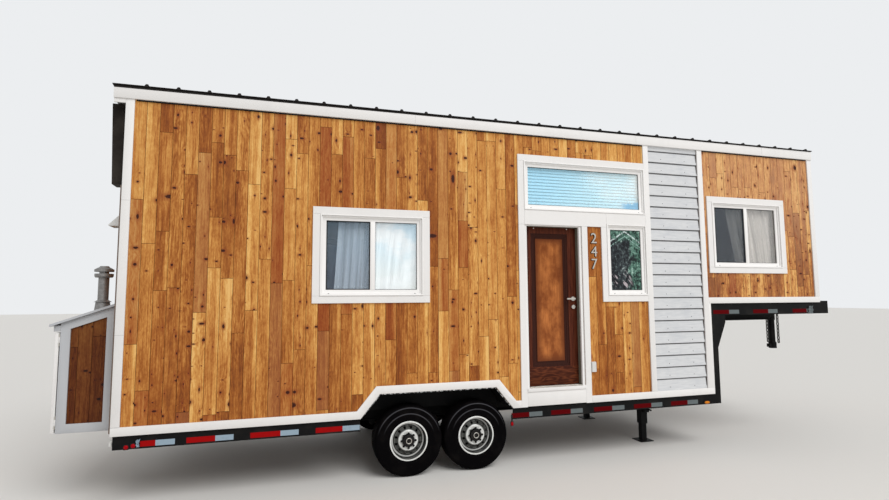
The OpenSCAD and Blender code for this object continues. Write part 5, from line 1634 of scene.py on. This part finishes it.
tapes = {
    "rail": {"z": 0.588, "shift": (-0.018, 0.007), "runs": [
        (0.253, 0.385, 0.555), (0.657, 0.917, 1.086), (1.244, 1.534, 1.714), (1.885, 2.162, 2.342),
        (4.084, 4.311, 4.479), (4.594, 4.854, 5.017), (5.174, 5.431, 5.606), (5.745, 6.004, 6.169),
        (6.304, 6.560, 6.725)]},
    "neck": {"z": 1.746, "shift": (0.016, 0.016), "runs": [
        (7.036, 7.302, 7.471), (7.716, 7.981, 8.148), (8.426, 8.685, 8.715)]},
    "high": 0.053, "thick": 0.0009, "y": 0.010, "ease": 0.0003,
    "peeled": ((8.768, 1.757, (0.085, 0.108), 5), (0.222, 0.600, (0.026, 0.07), 9)),
    "crumple": (0.008, 0.007, 0.006), "lean": -0.028, "curl": 0.03, "outward": -0.006,
    "peeledY": -0.002,
}


def alongRail(row, x):
    # the tapes ahead of the wheels sit a little further forward than those behind them
    first, last = tapes[row]["shift"]
    return x + first + (last - first) * min(max((x - 2.6) / 2.2, 0.0), 1.0)


def peeledTape(x, z, size, seed):
    # a tape's end that has come loose and crumpled
    luck = random.Random(seed)
    loose = tapes["crumple"]
    clear()
    bpy.ops.mesh.primitive_grid_add(x_subdivisions=6, y_subdivisions=7, size=1,
                                    rotation=(math.pi / 2, 0, 0), location=at(x, tapes["peeledY"], z))
    film = fresh((size[0], size[1], 1))
    for vertex in film.data.vertices:
        up = (vertex.co.z - z) / size[1] + 0.5
        vertex.co.x += luck.uniform(-loose[0], loose[0]) + tapes["lean"] * up + tapes["curl"] * up * up
        vertex.co.y += luck.uniform(-loose[1], loose[1]) + tapes["outward"] * up
        vertex.co.z += luck.uniform(-loose[2], loose[2])
    apply(film, "SOLIDIFY", thickness=tapes["thick"], offset=0)
    apply(film, "BEVEL", width=tapes["ease"], segments=1)
    return film


def addTapes():
    reds, whites = [], []
    ys, half = (tapes["y"] - tapes["thick"], tapes["y"]), tapes["high"] / 2
    for row in ("rail", "neck"):
        zs = around(tapes[row]["z"], half)
        for run in tapes[row]["runs"]:
            start, change, end = (alongRail(row, v) for v in run)
            reds.append(slab((start, change), ys, zs, tapes["ease"], 1))
            whites.append(slab((change, end), ys, zs, tapes["ease"], 1))
    whites += [peeledTape(*spot) for spot in tapes["peeled"]]
    keepTwins(join(reds, "redTapes"), "red")
    keepTwins(join(whites, "silverTapes"), "silverTape")


lamps = {
    "redLamps": ("redLens", [(0.118, 0.566, 0.042, 0.042), (0.178, 0.575, 0.042, 0.042),
                             (4.088, 0.497, 0.034, 0.046)]),
    "amberLamps": ("amberLens", [(6.872, 0.570, 0.082, 0.036)]),
    "deep": 0.028, "y": 0.004, "base": (0.56, 0.6), "baseY": (-0.001, 0.006),
    "bracket": ((4.078, 4.098), (0.0055, 0.0105), (0.51, 0.60)),       # the hanging lamp's
}


def lamp(x, z, wide, high):
    # a lens with a rounded face on a black base
    middle, (across, up), (y0, y1) = at(x, lamps["y"], z), lamps["base"], lamps["baseY"]
    clear()
    bpy.ops.mesh.primitive_uv_sphere_add(segments=24, ring_count=12, radius=0.5, location=middle)
    lens = fresh((wide, lamps["deep"], high))
    editAll()
    bpy.ops.mesh.bisect(plane_co=middle, plane_no=(0, 1, 0), clear_outer=True, use_fill=True)
    mode("OBJECT")
    return lens, slab(around(x, wide * across), (lamps["y"] + y0, lamps["y"] + y1),
                      around(z, high * up), 0.003)


def addLamps():
    bases = [slab(*lamps["bracket"], 0.001)]
    for name in ("redLamps", "amberLamps"):
        finish, spots = lamps[name]
        lenses, more = zip(*(lamp(*spot) for spot in spots))
        bases += more
        keepTwins(join(lenses, name), finish)
    keepTwins(join(bases, "lampBases"), "gasket")


addTapes()
addLamps()
print("tapes and lamps on")

# Wheels: hub caps, nut caps and valves

wheel = {"cap": (0.066, (0, 0.014), 48, 0.004), "nut": (0.0140, (0.012, 0.022), 6, 0.002),
         "valve": (0.005, (0.024, 0.069), 12, 0.001), "ring": 0.029, "ringWire": 0.0048,
         "ringY": -0.0005, "nutCircle": 0.079, "nuts": 8, "valveAt": (0.015, 0.150)}


def wheelPieces(end):
    # a hub cap with its ring, the nuts and the valve of a wheel on the door side
    low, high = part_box("rim_near_" + end)
    x, z = (low.x + high.x) / 2, (low.z + high.z) / 2

    def peg(kind, across, up):
        radius, (y0, y1), sides, ease = wheel[kind]
        foot = Vector((x + across, low.y, z + up))
        return rod(foot + Vector((0, y0, 0)), foot + Vector((0, y1, 0)), radius, sides, ease)

    cap = peg("cap", 0, 0)
    clear()
    bpy.ops.mesh.primitive_torus_add(major_segments=48, minor_segments=10, major_radius=wheel["ring"],
                                     minor_radius=wheel["ringWire"], rotation=(math.pi / 2, 0, 0),
                                     location=(x, low.y + wheel["ringY"], z))
    hoop = bpy.context.object
    bpy.ops.object.shade_smooth()
    valve = peg("valve", *wheel["valveAt"])
    turns = [step * math.tau / wheel["nuts"] for step in range(wheel["nuts"])]
    nuts = [peg("nut", wheel["nutCircle"] * math.cos(a), wheel["nutCircle"] * math.sin(a)) for a in turns]
    return ((cap, "hubCap", "black_steel", "hubIron"), (hoop, "hubRing", "silver_wheel", "nickel"),
            (valve, "valve", "tyre", "gasket"), (join(nuts, "nuts"), "nutCaps", "black_steel", "hubIron"))


for end in ("rear", "front"):
    for piece, name, slot, finish in wheelPieces(end):
        settle(piece, name + "_near_" + end)
        back = onBack(piece, name + "_back_" + end)
        keep(piece, finish, "wheel_near_" + end)
        keep(back, finish, "wheel_back_" + end)
print("wheels dressed")

# The stage: a pale floor, soft light from above and in front

stage = {"floor": (216, 214, 210), "backdrop": (236, 238, 240), "sky": 0.54, "sun": 1.85, "soft": 40,
         "sunWay": (-0.35, 1.0, -1.15), "side": 120, "sidePlace": (7.5, -9.0, 4.5),
         "sideAim": (8.2, 0.0, 2.6), "sideSize": 4.0}


def skyLight():
    # white light, but a plain backdrop for the camera, for mirrors and through glass
    world = bpy.data.worlds.new("studio")
    bpy.context.scene.world = world
    s = Shade("studio", world)
    ray = s.node("ShaderNodeLightPath").socket.node.outputs
    seen, mirrored, through = (Wire(s, ray["Is %s Ray" % k]) for k in ("Camera", "Glossy", "Transmission"))
    seen = s.math("MAXIMUM", seen, s.math("MAXIMUM", mirrored, through))
    light = s.node("ShaderNodeBackground", None, [(1.0, 1.0, 1.0, 1.0), stage["sky"]])
    s.finish(mixed(s, seen, light, s.node("ShaderNodeBackground", None, [stage["backdrop"]])),
             "ShaderNodeOutputWorld")


def aim(light, way):
    light.rotation_euler = Vector(way).to_track_quat("-Z", "Y").to_euler()


def addStage():
    clear()
    bpy.ops.mesh.primitive_plane_add(size=160, location=(0, 0, cadBox[0].z))
    floor = bpy.context.object
    floor.name = "studioFloor"
    s = Shade("studioFloor")
    tone = s.blend(s.speck((2, 2, 0)) * 0.1, stage["floor"], dim(stage["floor"], 0.96))
    floor.data.materials.append(s.surface(tone, 0.8))
    skyLight()
    clear()
    bpy.ops.object.light_add(type="SUN")
    sun = bpy.context.object
    sun.data.energy = stage["sun"]
    sun.data.angle = math.radians(stage["soft"])
    aim(sun, stage["sunWay"])
    bpy.ops.object.light_add(type="AREA", location=at(*stage["sidePlace"]))
    side = bpy.context.object
    side.data.energy = stage["side"]
    side.data.size = stage["sideSize"]
    side.visible_glossy = False      # the panes mirror the open sky alone
    aim(side, at(*stage["sideAim"]) - at(*stage["sidePlace"]))


addStage()
bpy.context.scene.view_settings.view_transform = "Standard"
print("stage set")
